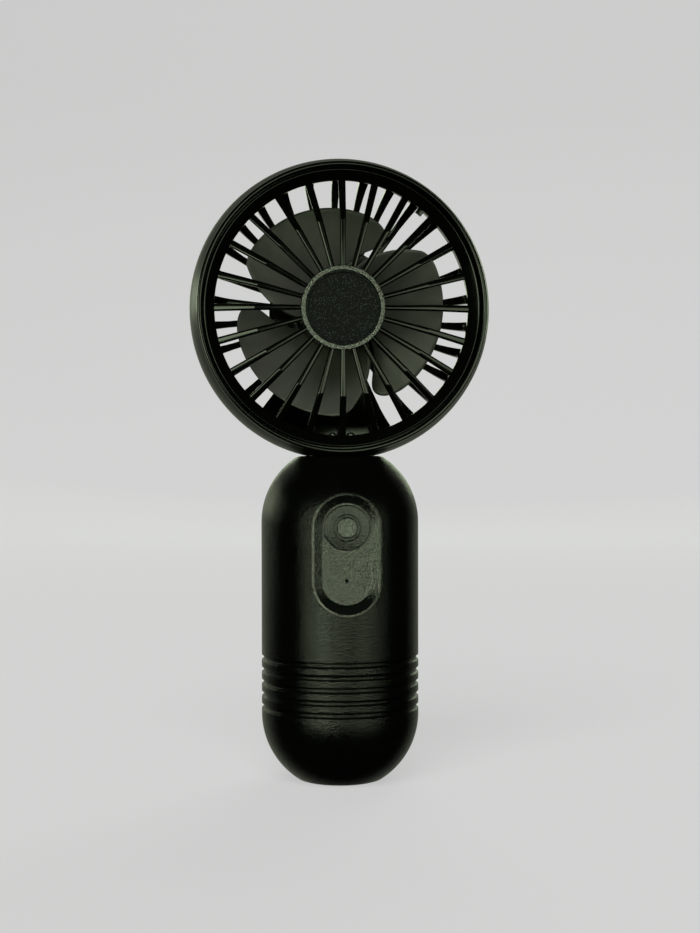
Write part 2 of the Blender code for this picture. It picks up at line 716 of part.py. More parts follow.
def make_head(parts, cutters, gloss, neck_holes):
    centre = (0, 0, HEAD_Z)
    ledge_y = RING_BACK_Y + GAP
    ledge_r = MOUTH_R - LEDGE
    chamfer_across, chamfer_deep = MOUTH_CHAMFER
    outer = [
        (MOUTH_R + chamfer_across, FRONT_Y),
        (LIP_R - LIP_ROUND, FRONT_Y),
        *barrel(3),
        *bowl(0, BOWL_ROWS),
        (0, BACK_Y),
    ]
    inner = [(0, BACK_Y - HEAD_WALL), *reversed(bowl(HEAD_WALL, BOWL_ROWS))]
    ledge_back = ledge_y + LEDGE_THICKNESS
    front_side = [
        (ledge_r, ledge_back),
        (ledge_r, ledge_y),
        (MOUTH_R, ledge_y),
        (MOUTH_R, FRONT_Y + chamfer_deep),
    ]
    housing = lathe_forward(
        "head_housing", outer + inner + front_side, parts, centre, gloss, TURN_STEPS, closed=True
    )
    start, end = SOLID_SECTOR
    pitch = 360 / REAR_RIBS
    slots = [rear_slot(i * pitch) for i in range(REAR_RIBS) if not start < i * pitch < end]
    slot_cutter = flat_shapes("rear_slots", slots, -BACK_Y - THROUGH, 0, cutters)
    slot_cutter.rotation_euler = TO_FRONT
    slot_cutter.location = Vector(centre) * MM
    combine(housing, as_cutter(slot_cutter))

    outside_x = POST_HALF_WIDTH + GAP + POCKET_WALL
    pocket = box(
        "neck_pocket",
        (-outside_x, POCKET_FRONT_Y, HEAD_CUT_Z - THROUGH),
        (outside_x, POST_BACK_Y + GAP + POCKET_WALL, POST_TOP_Z + GAP + POCKET_WALL),
        cutters,
    )
    combine(housing, as_cutter(pocket), "UNION")
    reach = HANDLE_R + THROUGH
    underside = box(
        "under_head", (-reach, -reach, HEAD_CUT_Z - reach), (reach, reach, HEAD_CUT_Z), cutters
    )
    combine(housing, as_cutter(underside))
    cavity = box(
        "post_cavity",
        (-POST_HALF_WIDTH - GAP, POST_FRONT_Y - GAP, HEAD_CUT_Z - THROUGH),
        (POST_HALF_WIDTH + GAP, POST_BACK_Y + GAP, POST_TOP_Z + GAP),
        cutters,
    )
    combine(housing, as_cutter(cavity))
    for hole in neck_holes:
        combine(housing, hole)
    return housing


def make_grille(parts, cutters, gloss, satin):
    centre = (0, 0, HEAD_Z)
    hoop = [
        (GRILLE_OPENING_R, RING_INNER_Y),
        (RING_R, RING_FRONT_Y),
        (RING_R, RING_BACK_Y),
        (GRILLE_OPENING_R, RING_BACK_Y),
    ]
    grille = lathe_forward("front_grille", hoop, parts, centre, gloss, RING_STEPS, closed=True)
    hub_back = GRILLE_FACE_Y + GRILLE_HUB_DEPTH
    recess_r = BADGE_R + GAP
    hub = [
        (0, GRILLE_FACE_Y + BADGE_DEPTH + GAP),
        (recess_r, GRILLE_FACE_Y + BADGE_DEPTH + GAP),
        (recess_r, GRILLE_FACE_Y),
        (GRILLE_HUB_R, GRILLE_FACE_Y),
        (GRILLE_HUB_R, hub_back),
        (0, hub_back),
    ]
    boss = lathe_forward("grille_hub", hub, cutters, centre, steps=TURN_STEPS)
    start_r = (recess_r + GRILLE_HUB_R) / 2
    end_r = GRILLE_OPENING_R + GRILLE_RIB_REACH
    front = -GRILLE_FACE_Y - GRILLE_RIB_SET_BACK
    end_front = -RING_INNER_Y - GRILLE_RIB_SET_BACK / 2
    outline = [
        (start_r, front),
        (GRILLE_BEND_R, front),
        (end_r, end_front),
        (end_r, end_front - GRILLE_RIB_END),
        (GRILLE_BEND_R, front - GRILLE_RIB_DEPTH),
        (start_r, front - GRILLE_RIB_DEPTH),
    ]
    half = GRILLE_RIB_WIDTH / 2
    one = flat_shapes("grille_rib", [outline], -half, half, cutters)
    bars = bmesh.new()
    for index in range(GRILLE_RIBS):
        turned = bmesh.new()
        turned.from_mesh(one.data)
        upright = Matrix.Rotation(math.radians(90), 4, "X")
        around = Matrix.Rotation(math.radians(360 * index / GRILLE_RIBS), 4, "Z")
        bmesh.ops.transform(turned, matrix=around @ upright, verts=turned.verts)
        copy = bpy.data.meshes.new("rib_copy")
        turned.to_mesh(copy)
        turned.free()
        bars.from_mesh(copy)
        bpy.data.meshes.remove(copy)
    ribs_mesh = bpy.data.meshes.new("grille_ribs")
    bars.to_mesh(ribs_mesh)
    bars.free()
    bpy.data.objects.remove(one, do_unlink=True)
    ribs = add_object("grille_ribs", ribs_mesh, cutters)
    ribs.rotation_euler = TO_FRONT
    ribs.location = Vector(centre) * MM
    combine(grille, as_cutter(boss), "UNION")
    combine(grille, as_cutter(ribs), "UNION")
    catch = box(
        "grille_catch",
        (-CATCH_ROOT, RING_INNER_Y, -CATCH_SIZE / 2),
        (CATCH_SIZE, RING_BACK_Y + CATCH_PROUD, CATCH_SIZE / 2),
        cutters,
    )
    turn = math.radians(CATCH_ANGLE)
    catch.rotation_euler = (0, -turn, 0)
    spot = GRILLE_OPENING_R - CATCH_SIZE / 2
    middle_y = (RING_INNER_Y + RING_BACK_Y + CATCH_PROUD) / 2
    catch.location = Vector((spot * math.cos(turn), middle_y, HEAD_Z + spot * math.sin(turn))) * MM
    combine(grille, as_cutter(catch), "UNION")

    face = GRILLE_FACE_Y + BADGE_SET_BACK
    badge = [
        (0, face + BADGE_DISH),
        (BADGE_R - BADGE_RIM, face + BADGE_DISH),
        (BADGE_R - BADGE_RIM, face),
        (BADGE_R, face),
        (BADGE_R, GRILLE_FACE_Y + BADGE_DEPTH),
        (0, GRILLE_FACE_Y + BADGE_DEPTH),
    ]
    lathe_forward("hub_badge", badge, parts, centre, satin, TURN_STEPS)


def make_motor(parts, cutters, steel, brass, copper, board, plastic, magnet, housing):
    centre = (0, 0, HEAD_Z)
    base = [
        (TUBE_BORE_R, TUBE_FRONT_Y),
        (TUBE_R, TUBE_FRONT_Y),
        (TUBE_R, PLATE_FRONT_Y),
        (MOTOR_PLATE_R, PLATE_FRONT_Y),
        (MOTOR_PLATE_R, PLATE_BACK_Y),
        (0, PLATE_BACK_Y),
        (0, PLATE_FRONT_Y),
        (TUBE_BORE_R, PLATE_FRONT_Y),
    ]
    mount = lathe_forward("motor_base", base, parts, centre, plastic, closed=True)
    bore = SHAFT_R + GAP
    front_bearing = TUBE_FRONT_Y + BEARING_SET_BACK
    rear_bearing = SHAFT_BACK_Y - CLIP_THICKNESS - 2 * GAP - BEARING_LENGTH
    for name, start in (("bearing_front", front_bearing), ("bearing_rear", rear_bearing)):
        shape = ring(bore, BEARING_R, start, start + BEARING_LENGTH)
        lathe_forward(name, shape, parts, centre, brass, closed=True)
    core_r = TUBE_R + GAP
    lathe_forward("stator_core", ring(core_r, STATOR_R, *STATOR_Y), parts, centre, copper, closed=True)
    lathe_forward("motor_board", ring(core_r, STATOR_R, *MOTOR_BOARD_Y), parts, centre, board, closed=True)
    magnet_r = STATOR_R + AIR_GAP
    shape = ring(magnet_r, magnet_r + MAGNET_WALL, *MAGNET_Y)
    lathe_forward("magnet_ring", shape, parts, centre, magnet, steps=32, closed=True)
    shaft_front = HUB_FRONT_Y - HUB_BOSS + SHAFT_SEAT
    lathe_forward("motor_shaft", solid_disc(SHAFT_R, shaft_front, SHAFT_BACK_Y), parts, centre, steel)
    clip = ring(bore, bore + CLIP_WALL, SHAFT_BACK_Y - CLIP_THICKNESS, SHAFT_BACK_Y)
    lathe_forward("shaft_clip", clip, parts, centre, steel, closed=True)

    head_back = BACK_Y - MOTOR_SCREW_SINK
    head_front = head_back - MOTOR_SCREW_HEAD
    for side, x in (("left", -MOTOR_SCREW_RADIUS), ("right", MOTOR_SCREW_RADIUS)):
        place = (x, 0, HEAD_Z)
        shape = [
            (0, PLATE_FRONT_Y + GAP),
            (NECK_SCREW_R, PLATE_FRONT_Y + GAP),
            (NECK_SCREW_R, head_front),
            (NECK_SCREW_HEAD_R, head_front),
            (NECK_SCREW_HEAD_R, head_back),
            (0, head_back),
        ]
        lathe_forward(f"motor_screw_{side}", shape, parts, place, steel, steps=SCREW_STEPS)
        hole = [
            (0, PLATE_FRONT_Y - THROUGH),
            (NECK_SCREW_R + GAP, PLATE_FRONT_Y - THROUGH),
            (NECK_SCREW_R + GAP, head_front - GAP),
            (NECK_SCREW_HEAD_R + GAP, head_front - GAP),
            (NECK_SCREW_HEAD_R + GAP, BACK_Y + THROUGH),
            (0, BACK_Y + THROUGH),
        ]
        cutter = as_cutter(lathe_forward(f"motor_hole_{side}", hole, cutters, place, steps=SCREW_STEPS))
        combine(housing, cutter)
        combine(mount, cutter)


def corner_cut(share, reach, depth):
    """How far a rounded corner pulls the tip in, at a share of the blade counted from that corner."""
    inside = max(0.0, 1 - share / reach)
    return depth * (1 - math.sqrt(1 - inside**2))


def blade_point(number, along, out):
    """A point of a blade: along runs 0 to 1 from trailing to leading edge, out from root to tip."""
    root = HUB_R - HUB_WALL / 2
    tip = BLADE_TIP_R - BLADE_TIP_FALL * along**2
    tip -= corner_cut(along, BLADE_TRAIL_REACH, BLADE_TRAIL_CORNER)
    tip -= corner_cut(1 - along, BLADE_LEAD_REACH, BLADE_LEAD_CORNER)
    radius = root + (tip - root) * out
    beyond = radius - BLADE_MEASURED_R
    trail = BLADE_TRAIL_ANGLE - BLADE_TRAIL_SWEEP * beyond
    lead = BLADE_TRAIL_ANGLE - BLADE_SPAN - BLADE_LEAD_SWEEP * beyond
    angle = math.radians(trail + (lead - trail) * along - 360 / BLADES * number)
    y = BLADE_TRAIL_Y + (BLADE_LEAD_Y - BLADE_TRAIL_Y) * along
    y += BLADE_CAMBER * math.sin(math.pi * along)
    return Vector((radius * math.cos(angle), y, radius * math.sin(angle))) * MM


def make_impeller(parts, cutters, blade_plastic):
    centre = (0, 0, HEAD_Z)
    boss_front = HUB_FRONT_Y - HUB_BOSS
    bore_front = boss_front + SHAFT_SEAT - GAP
    bore_r = SHAFT_R + GAP
    inner_face = HUB_FRONT_Y + HUB_FACE
    shape = [
        (0, boss_front),
        (HUB_BOSS_R, boss_front),
        (HUB_BOSS_R, HUB_FRONT_Y),
        (HUB_R - HUB_ROUND, HUB_FRONT_Y),
        (HUB_R, HUB_FRONT_Y + HUB_ROUND),
        (HUB_R, HUB_BACK_Y),
        (HUB_R - HUB_WALL, HUB_BACK_Y),
        (HUB_R - HUB_WALL, inner_face),
        (bore_r, inner_face),
        (bore_r, bore_front),
        (0, bore_front),
    ]
    impeller = lathe_forward("impeller", shape, parts, centre, blade_plastic, HUB_STEPS)
    for number in range(BLADES):
        mesh = bpy.data.meshes.new(f"blade_{number}")
        points = [
            blade_point(number, i / BLADE_COLUMNS, j / BLADE_ROWS)
            for i in range(BLADE_COLUMNS + 1)
            for j in range(BLADE_ROWS + 1)
        ]
        faces = []
        for i in range(BLADE_COLUMNS):
            for j in range(BLADE_ROWS):
                first = i * (BLADE_ROWS + 1) + j
                after = first + BLADE_ROWS + 1
                faces.append((first, first + 1, after + 1, after))
        mesh.from_pydata(points, [], faces)
        blade = add_object(f"blade_{number}", mesh, cutters)
        blade.location = Vector(centre) * MM
        wall = blade.modifiers.new("Thickness", "SOLIDIFY")
        wall.thickness = BLADE_THICKNESS * MM
        wall.offset = 0.0
        combine(impeller, as_cutter(blade), "UNION")


def shade(collection):
    for obj in collection.objects:
        obj.data.shade_smooth()
        obj.data.set_sharp_from_angle(angle=FINE_ANGLE)


def main():
    clear_scene()
    parts = new_collection("pocket_fan")
    cutters = new_collection("cutters")
    textured = make_material("black_textured_abs", (0.006, 0.007, 0.005), 0.45)
    gloss = make_material("black_gloss_abs", (0.005, 0.006, 0.005), 0.12)
    satin = make_material("dark_satin_abs", (0.02, 0.023, 0.021), 0.4)
    grey = make_material("grey_blade_plastic", (0.11, 0.12, 0.1), 0.35)
    steel = make_material("zinc_plated_steel", (0.55, 0.55, 0.56), 0.3, 1.0)
    brass = make_material("sintered_bronze", (0.5, 0.33, 0.16), 0.5, 1.0)
    copper = make_material("stator_windings", (0.55, 0.23, 0.1), 0.4, 1.0)
    magnet = make_material("ferrite_magnet", (0.03, 0.03, 0.03), 0.6)
    board = make_material("green_circuit_board", (0.01, 0.07, 0.03), 0.4)
    wrap = make_material("cell_wrap", (0.02, 0.12, 0.3), 0.35)
    foam = make_material("black_foam", (0.01, 0.01, 0.01), 0.9)
    white = make_material("led_epoxy", (0.8, 0.8, 0.75), 0.3)

    front, rear = make_handle(parts, cutters, textured)
    make_handle_screws(parts, cutters, steel, front, rear)
    make_panel(parts, cutters, gloss, front)
    make_button(parts, satin, magnet)
    make_boards(parts, cutters, board, magnet, white)
    make_port(parts, cutters, steel, rear)
    make_battery(parts, wrap, foam)
    neck_holes = make_neck(parts, cutters, textured, steel)
    housing = make_head(parts, cutters, gloss, neck_holes)
    make_grille(parts, cutters, gloss, satin)
    make_motor(parts, cutters, steel, brass, copper, board, gloss, magnet, housing)
    make_impeller(parts, cutters, grey)
    shade(parts)


main()
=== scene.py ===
import json
import math

import bmesh
import bpy
from mathutils import Matrix, Vector


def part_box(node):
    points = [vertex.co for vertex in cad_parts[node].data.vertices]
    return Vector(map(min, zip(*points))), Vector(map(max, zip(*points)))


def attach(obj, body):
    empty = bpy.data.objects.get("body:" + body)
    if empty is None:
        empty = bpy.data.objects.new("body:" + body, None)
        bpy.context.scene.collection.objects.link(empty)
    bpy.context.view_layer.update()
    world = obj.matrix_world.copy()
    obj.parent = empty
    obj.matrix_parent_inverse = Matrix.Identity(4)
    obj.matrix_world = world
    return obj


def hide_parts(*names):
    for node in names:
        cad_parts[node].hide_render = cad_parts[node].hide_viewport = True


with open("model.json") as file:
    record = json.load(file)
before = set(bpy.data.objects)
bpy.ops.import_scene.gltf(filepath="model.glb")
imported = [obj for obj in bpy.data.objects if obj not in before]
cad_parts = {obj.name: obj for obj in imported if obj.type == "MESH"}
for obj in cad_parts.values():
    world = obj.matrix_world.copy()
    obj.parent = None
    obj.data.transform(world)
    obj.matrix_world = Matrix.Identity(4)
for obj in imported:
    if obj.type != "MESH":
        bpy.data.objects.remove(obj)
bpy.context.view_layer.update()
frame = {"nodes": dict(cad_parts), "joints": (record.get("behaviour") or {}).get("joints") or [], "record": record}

# Pocket fan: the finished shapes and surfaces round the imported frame.
# Drawing values are millimetres, and mm turns them into metres where a mesh is made.
# Angles are degrees from +X towards +Z as seen from in front. The front faces -Y.
mm = 0.001
print("frame loaded with", len(frame["nodes"]), "nodes")


def boxOf(node):
    low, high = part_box(node)
    return low / mm, high / mm


# places that everything else is worked out from
handleHigh = boxOf("handle_front_shell")[1]
headLow, headHigh = boxOf("head_housing")
grilleHigh = boxOf("front_grille")[1]
bezelLow, bezelHigh = boxOf("button_bezel")
buttonLow = boxOf("power_button")[0]
panelLow, panelHigh = boxOf("control_panel")
spin = next(joint for joint in frame["joints"] if joint["name"] == "impeller_spin")
axis = Vector((0, 0, spin["pos_m"][2] / mm))  # where the head's axis crosses the middle plane
handleR = handleHigh.x
handleTop = handleHigh.z
headR = headHigh.x
buttonZ = (bezelLow.z + bezelHigh.z) / 2
sharpFrom = 32  # an edge that folds by more degrees than this stays crisp


# small tools

def linear(hexColour):
    # sRGB hex to the linear colour that a socket takes
    parts = [int(hexColour[i:i + 2], 16) / 255 for i in (1, 3, 5)]
    return (*[v / 12.92 if v <= 0.04045 else ((v + 0.055) / 1.055) ** 2.4 for v in parts], 1.0)


def addNode(tree, kind, settings=None, inputs=None):
    # settings are the node's own choices; inputs are values, or sockets to link from
    node = tree.nodes.new(kind)
    for key, value in (settings or {}).items():
        setattr(node, key, value)
    for key, value in (inputs or {}).items():
        if isinstance(value, bpy.types.NodeSocket):
            tree.links.new(value, node.inputs[key])
        else:
            node.inputs[key].default_value = value
    return node


def rounded(corners, closed=False, segments=5):
    # (across, along, rounding) corners to a line of points with each corner eased
    points = []
    for i, (across, along, rounding) in enumerate(corners):
        here = Vector((across, along))
        if not rounding or (not closed and i in (0, len(corners) - 1)):
            points.append((across, along))
            continue
        before = Vector(corners[i - 1][:2]) - here
        after = Vector(corners[(i + 1) % len(corners)][:2]) - here
        reach = rounding / math.tan(before.angle(after) / 2)
        reach = min(reach, 0.48 * before.length, 0.48 * after.length)
        first, last = here + before.normalized() * reach, here + after.normalized() * reach
        for step in range(segments + 1):
            t = step / segments
            points.append(tuple(first * (1 - t) ** 2 + here * 2 * t * (1 - t) + last * t ** 2))
    return points


def newObject(name, data):
    obj = bpy.data.objects.new(name, data)
    bpy.context.scene.collection.objects.link(obj)
    return obj


def makeMesh(name, shape, material=None):
    # merges doubles and turns faces outwards, then hands over a shaded object at the origin
    bmesh.ops.remove_doubles(shape, verts=shape.verts, dist=1e-7)
    bmesh.ops.recalc_face_normals(shape, faces=shape.faces)
    mesh = bpy.data.meshes.new(name)
    shape.to_mesh(mesh)
    shape.free()
    obj = newObject(name, mesh)
    if material:
        mesh.materials.append(material)
    smooth(obj)
    return obj


def smooth(obj):
    obj.data.shade_smooth()
    obj.data.set_sharp_from_angle(angle=math.radians(sharpFrom))


def turned(name, outline, material=None, steps=128, centre=axis, along="Y", closed=False):
    # spins (radius, height) points about a line along Y or Z through centre
    shape = bmesh.new()
    turnAxis = Vector((0, 1, 0)) if along == "Y" else Vector((0, 0, 1))
    points = [shape.verts.new((centre + Vector((r, 0, 0)) + turnAxis * h) * mm) for r, h in outline]
    edges = [shape.edges.new(pair) for pair in zip(points, points[1:])]
    if closed:
        edges.append(shape.edges.new((points[-1], points[0])))
    bmesh.ops.spin(
        shape, geom=points + edges, cent=centre * mm, axis=turnAxis,
        angle=math.tau, steps=steps, use_merge=True,
    )
    return makeMesh(name, shape, material)


def loft(name, rings, material=None, capped=(True, True), ringClosed=True):
    # skins rings of equally many points, in mm
    shape = bmesh.new()
    made = [[shape.verts.new(Vector(point) * mm) for point in ring] for ring in rings]
    count = len(rings[0])
    for lower, upper in zip(made, made[1:]):
        for i in range(count if ringClosed else count - 1):
            j = (i + 1) % count
            shape.faces.new((lower[i], lower[j], upper[j], upper[i]))
    for wanted, ring in zip(capped, (made[0], made[-1])):
        if wanted:
            shape.faces.new(ring)
    return makeMesh(name, shape, material)


def block(name, low, high, rounding=0.0):
    shape = bmesh.new()
    bmesh.ops.create_cube(shape, size=1.0)
    low, high = Vector(low), Vector(high)
    for vert in shape.verts:
        vert.co = Vector(a + (b - a) * (c + 0.5) for a, b, c in zip(low, high, vert.co)) * mm
    if rounding:
        bmesh.ops.bevel(
            shape, geom=shape.edges[:], offset=rounding * mm, segments=4, profile=0.5,
            affect="EDGES", clamp_overlap=True,
        )
    return makeMesh(name, shape)


def stadium(radius, lowZ, highZ, segments=40):
    # an upright oval, anticlockwise from its right-hand side, as (x, z)
    points = []
    for centre, start in ((highZ, 0), (lowZ, 180)):
        for i in range(segments + 1):
            turn = math.radians(start + 180 * i / segments)
            points.append((radius * math.cos(turn), centre + radius * math.sin(turn)))
    return points


def prism(name, outline, frontY, backY):
    return loft(name, [[(x, y, z) for x, z in outline] for y in (frontY, backY)])


def settle(obj):
    # the evaluated shape as a plain mesh, with its modifiers gone
    graph = bpy.context.evaluated_depsgraph_get()
    mesh = bpy.data.meshes.new_from_object(obj.evaluated_get(graph))
    old = obj.data
    obj.modifiers.clear()
    obj.data = mesh
    if old.users == 0:
        bpy.data.meshes.remove(old)
    mesh.name = obj.name
    return obj


def cut(obj, cutters, operation="DIFFERENCE", solver="EXACT"):
    # one Boolean for each cutter; the cutters are removed afterwards. The grip's thin shells
    # need the manifold solver, which keeps them whole
    for cutter in cutters:
        change = obj.modifiers.new("Boolean", "BOOLEAN")
        change.operation = operation
        change.solver = solver
        change.object = cutter
    settle(obj)
    for cutter in cutters:
        bpy.data.objects.remove(cutter, do_unlink=True)
    smooth(obj)
    return obj


def place(obj, body, nodes, material=None):
    # a finished piece: what it moves with, what it stands for, and its finish
    if material:
        obj.data.materials.clear()
        obj.data.materials.append(material)
    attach(obj, body)
    if nodes:
        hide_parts(*nodes)
    return obj


# materials

def newMaterial(name, inputs):
    made = bpy.data.materials.new(name)
    made.use_nodes = True
    tree = made.node_tree
    shader = tree.nodes["Principled BSDF"]
    for key, value in inputs.items():
        shader.inputs[key].default_value = value
    return made, tree, shader


def calculate(tree, operation, first, second=0.0, third=0.0):
    values = {0: first, 1: second, 2: third}
    return addNode(tree, "ShaderNodeMath", {"operation": operation}, values).outputs[0]


def vector(tree, operation, values):
    return addNode(tree, "ShaderNodeVectorMath", {"operation": operation}, values)


def colourBy(tree, shader, share, first, second):
    # base colour between two sRGB colours, by a 0 to 1 pattern
    colour = mixed(tree, share, linear(first), linear(second))
    tree.links.new(colour, shader.inputs["Base Color"])


def roughenBy(tree, shader, pattern, limits):
    # roughness between two limits, by a 0 to 1 pattern
    tree.links.new(varied(tree, pattern, *limits), shader.inputs["Roughness"])


def objectPlace(tree):
    return addNode(tree, "ShaderNodeTexCoord").outputs["Object"]


def surfaceGrain(tree, shader, size, depth, strength=1.0, detail=2.0):
    # noise bump; size is the width in mm of one grain and depth its height in mm
    place3d = objectPlace(tree)
    grain = addNode(
        tree, "ShaderNodeTexNoise", {"noise_dimensions": "3D"},
        {"Vector": place3d, "Scale": 1 / (size * mm), "Detail": detail, "Roughness": 0.55},
    )
    bump = addNode(
        tree, "ShaderNodeBump", None,
        {"Height": grain.outputs["Fac"], "Distance": depth * mm, "Strength": strength},
    )
    tree.links.new(bump.outputs["Normal"], shader.inputs["Normal"])
    return grain


def varied(tree, source, low, high, fromLow=0.3, fromHigh=0.7):
    # a 0 to 1 pattern stretched between two values
    ranged = addNode(
        tree, "ShaderNodeMapRange", {"clamp": True},
        {"Value": source, "From Min": fromLow, "From Max": fromHigh, "To Min": low, "To Max": high},
    )
    return ranged.outputs["Result"]


def mixed(tree, share, first, second):
    # two colours mixed by a 0 to 1 pattern
    mix = addNode(tree, "ShaderNodeMix", {"data_type": "RGBA"}, {"Factor": share})
    mix.inputs[6].default_value = first
    mix.inputs[7].default_value = second
    return mix.outputs[2]


def cloudiness(tree, width):
    # slow noise, width in mm across one patch, for handling marks and uneven gloss
    place3d = objectPlace(tree)
    patches = addNode(
        tree, "ShaderNodeTexNoise", None, {"Vector": place3d, "Scale": 1 / (width * mm), "Detail": 3.0}
    )
    return patches.outputs["Fac"]


handleFinish = {
    "colour": "#030403", "rubbed": "#050604", "roughness": (0.18, 0.26), "grain": 0.42, "depth": 0.08
}


def texturedAbs():
    # black ABS moulded against spark-eroded steel: the grain breaks a soft highlight into fine specks
    made, tree, shader = newMaterial("texturedAbs", {"IOR": 1.54})
    place3d = objectPlace(tree)
    pits = addNode(
        tree, "ShaderNodeTexVoronoi", None, {"Vector": place3d, "Scale": 1 / (handleFinish["grain"] * mm)}
    )
    bump = addNode(
        tree, "ShaderNodeBump", None,
        {"Height": pits.outputs["Distance"], "Distance": handleFinish["depth"] * mm, "Strength": 1.0},
    )
    tree.links.new(bump.outputs["Normal"], shader.inputs["Normal"])
    patches = cloudiness(tree, 14)
    colourBy(tree, shader, varied(tree, patches, 0, 1), handleFinish["colour"], handleFinish["rubbed"])
    roughenBy(tree, shader, patches, handleFinish["roughness"])
    return made


glossFinish = {"colour": "#040503", "roughness": (0.10, 0.17), "ripple": 7.0}


def glossAbs():
    # black ABS from a polished mould: near mirror, with a faint slow ripple and a little dust haze
    made, tree, shader = newMaterial("glossAbs", {"Base Color": linear(glossFinish["colour"]), "IOR": 1.54})
    surfaceGrain(tree, shader, glossFinish["ripple"], 0.02, 0.5, 1.0)
    roughenBy(tree, shader, cloudiness(tree, 5), glossFinish["roughness"])
    return made


headFinish = {
    "colour": "#0b0c0a", "rim": "#040503", "satin": 0.34, "gloss": 0.13, "grain": 0.5, "edge": 0.25,
    "rimDepth": 0.35, "satinFrom": (2.6, 2.3),
}


def satinHeadAbs():
    # one black ABS moulding: satin side wall and bowl, and a polished band on the front rim
    made, tree, shader = newMaterial("satinHeadAbs", {"IOR": 1.54})
    surfaceGrain(tree, shader, headFinish["grain"], 0.012, 0.8)
    place3d = objectPlace(tree)
    depth = addNode(tree, "ShaderNodeSeparateXYZ", None, {"Vector": place3d}).outputs["Y"]
    rimEnd = (headLow.y + headFinish["edge"] + headFinish["rimDepth"]) * mm
    behindRim = varied(tree, depth, 0, 1, rimEnd, rimEnd + headFinish["edge"] * mm)
    # only the outside is satin: the inside, nearer the axis than the rim, stays dark and polished
    off = vector(tree, "SUBTRACT", {0: place3d, 1: axis * mm})
    flat = vector(tree, "MULTIPLY", {0: off.outputs[0], 1: (1, 0, 1)})
    reach = vector(tree, "LENGTH", {0: flat.outputs[0]})
    innermost, outermost = ((headR - inset) * mm for inset in headFinish["satinFrom"])
    outside = varied(tree, reach.outputs["Value"], 0, 1, innermost, outermost)
    satin = calculate(tree, "MULTIPLY", behindRim, outside)
    colourBy(tree, shader, satin, headFinish["rim"], headFinish["colour"])
    roughness = varied(tree, satin, headFinish["gloss"], headFinish["satin"], 0, 1)
    tree.links.new(roughness, shader.inputs["Roughness"])
    return made


bladeFinish = {"colour": "#4e4f49", "pale": "#595a53", "roughness": (0.30, 0.38)}


def bladeAbs():
    # grey-olive ABS from a lightly blasted mould: satin, with faint flow marks out from the hub
    made, tree, shader = newMaterial("bladeAbs", {"IOR": 1.5})
    surfaceGrain(tree, shader, 0.6, 0.010, 0.7)
    patches = cloudiness(tree, 9)
    colourBy(tree, shader, varied(tree, patches, 0, 1), bladeFinish["colour"], bladeFinish["pale"])
    roughenBy(tree, shader, patches, bladeFinish["roughness"])
    return made


badgeFinish = {"colour": "#070a0a", "fleck": "#49524f", "roughness": 0.5, "fleckSize": 0.52}


def fleckedAbs():
    # dark ABS with fine mica flecks: reads as a matt disc that sparkles slightly
    made, tree, shader = newMaterial(
        "fleckedAbs", {"Specular IOR Level": 0.25, "Roughness": badgeFinish["roughness"]}
    )
    place3d = objectPlace(tree)
    cells = addNode(
        tree, "ShaderNodeTexVoronoi", None,
        {"Vector": place3d, "Scale": 1 / (badgeFinish["fleckSize"] * mm), "Randomness": 1.0},
    )
    spot = varied(tree, cells.outputs["Distance"], 1, 0, 0.12, 0.32)
    colourBy(tree, shader, spot, badgeFinish["colour"], badgeFinish["fleck"])
    surfaceGrain(tree, shader, 0.4, 0.02)
    return made


def satinAbs(name, colour, roughness, depth, shine):
    # dark lacquered ABS from a fine-blasted mould: even, slightly soft sheen. shine is its IOR
    made, tree, shader = newMaterial(
        name, {"Base Color": linear(colour), "Specular IOR Level": 0.95, "IOR": shine}
    )
    grain = surfaceGrain(tree, shader, 0.4, depth)
    roughenBy(tree, shader, grain.outputs["Fac"], (roughness - 0.04, roughness + 0.04))
    return made


def zincSteel():
    # zinc-plated steel, machined: bright with fine scratches and slightly clouded plating
    made, tree, shader = newMaterial("zincSteel", {"Metallic": 1.0})
    patches = cloudiness(tree, 0.8)
    colourBy(tree, shader, varied(tree, patches, 0, 1), "#8f9092", "#b4b5b6")
    roughenBy(tree, shader, patches, (0.24, 0.4))
    surfaceGrain(tree, shader, 0.15, 0.006)
    return made


def plainFinish(name, colour, roughness, metallic=0.0, grain=0.3, depth=0.01):
    # inner pieces: each its own base colour, with moulding or casting grain
    made, tree, shader = newMaterial(name, {"Metallic": metallic})
    found = surfaceGrain(tree, shader, grain, depth)
    darker = tuple(c * 0.75 for c in linear(colour)[:3]) + (1.0,)
    tree.links.new(
        mixed(tree, varied(tree, found.outputs["Fac"], 0, 1), darker, linear(colour)),
        shader.inputs["Base Color"],
    )
    roughenBy(tree, shader, cloudiness(tree, 3), (roughness - 0.05, roughness + 0.05))
    return made


finish = {
    "textured": texturedAbs(),
    "gloss": glossAbs(),
    "head": satinHeadAbs(),
    "blade": bladeAbs(),
    "badge": fleckedAbs(),
    "panel": satinAbs("panelAbs", "#0b0e0b", 0.16, 0.2, 1.85),
    "bezel": satinAbs("bezelAbs", "#080a08", 0.14, 0.1, 1.58),
    "button": satinAbs("buttonAbs", "#0d100d", 0.18, 0.2, 2.0),
    "steel": zincSteel(),
    "bronze": plainFinish("sinteredBronze", "#8a6a3c", 0.5, 1.0, 0.15, 0.02),
    "windings": plainFinish("enamelledCopper", "#9c4d22", 0.35, 1.0, 0.3, 0.05),
    "ferrite": plainFinish("ferriteMagnet", "#2e2e2f", 0.6),
    "laminate": plainFinish("fibreglassBoard", "#1d5a36", 0.4),
    "cell": plainFinish("shrinkSleeve", "#2b5f9e", 0.3, 0.0, 4.0),
    "foam": plainFinish("closedCellFoam", "#1a1a1a", 0.9, 0.0, 0.6, 0.1),
    "led": plainFinish("clearEpoxy", "#d9d8cc", 0.25),
    "switch": plainFinish("glassFilledNylon", "#202022", 0.55),
}
print("materials made:", len(finish))

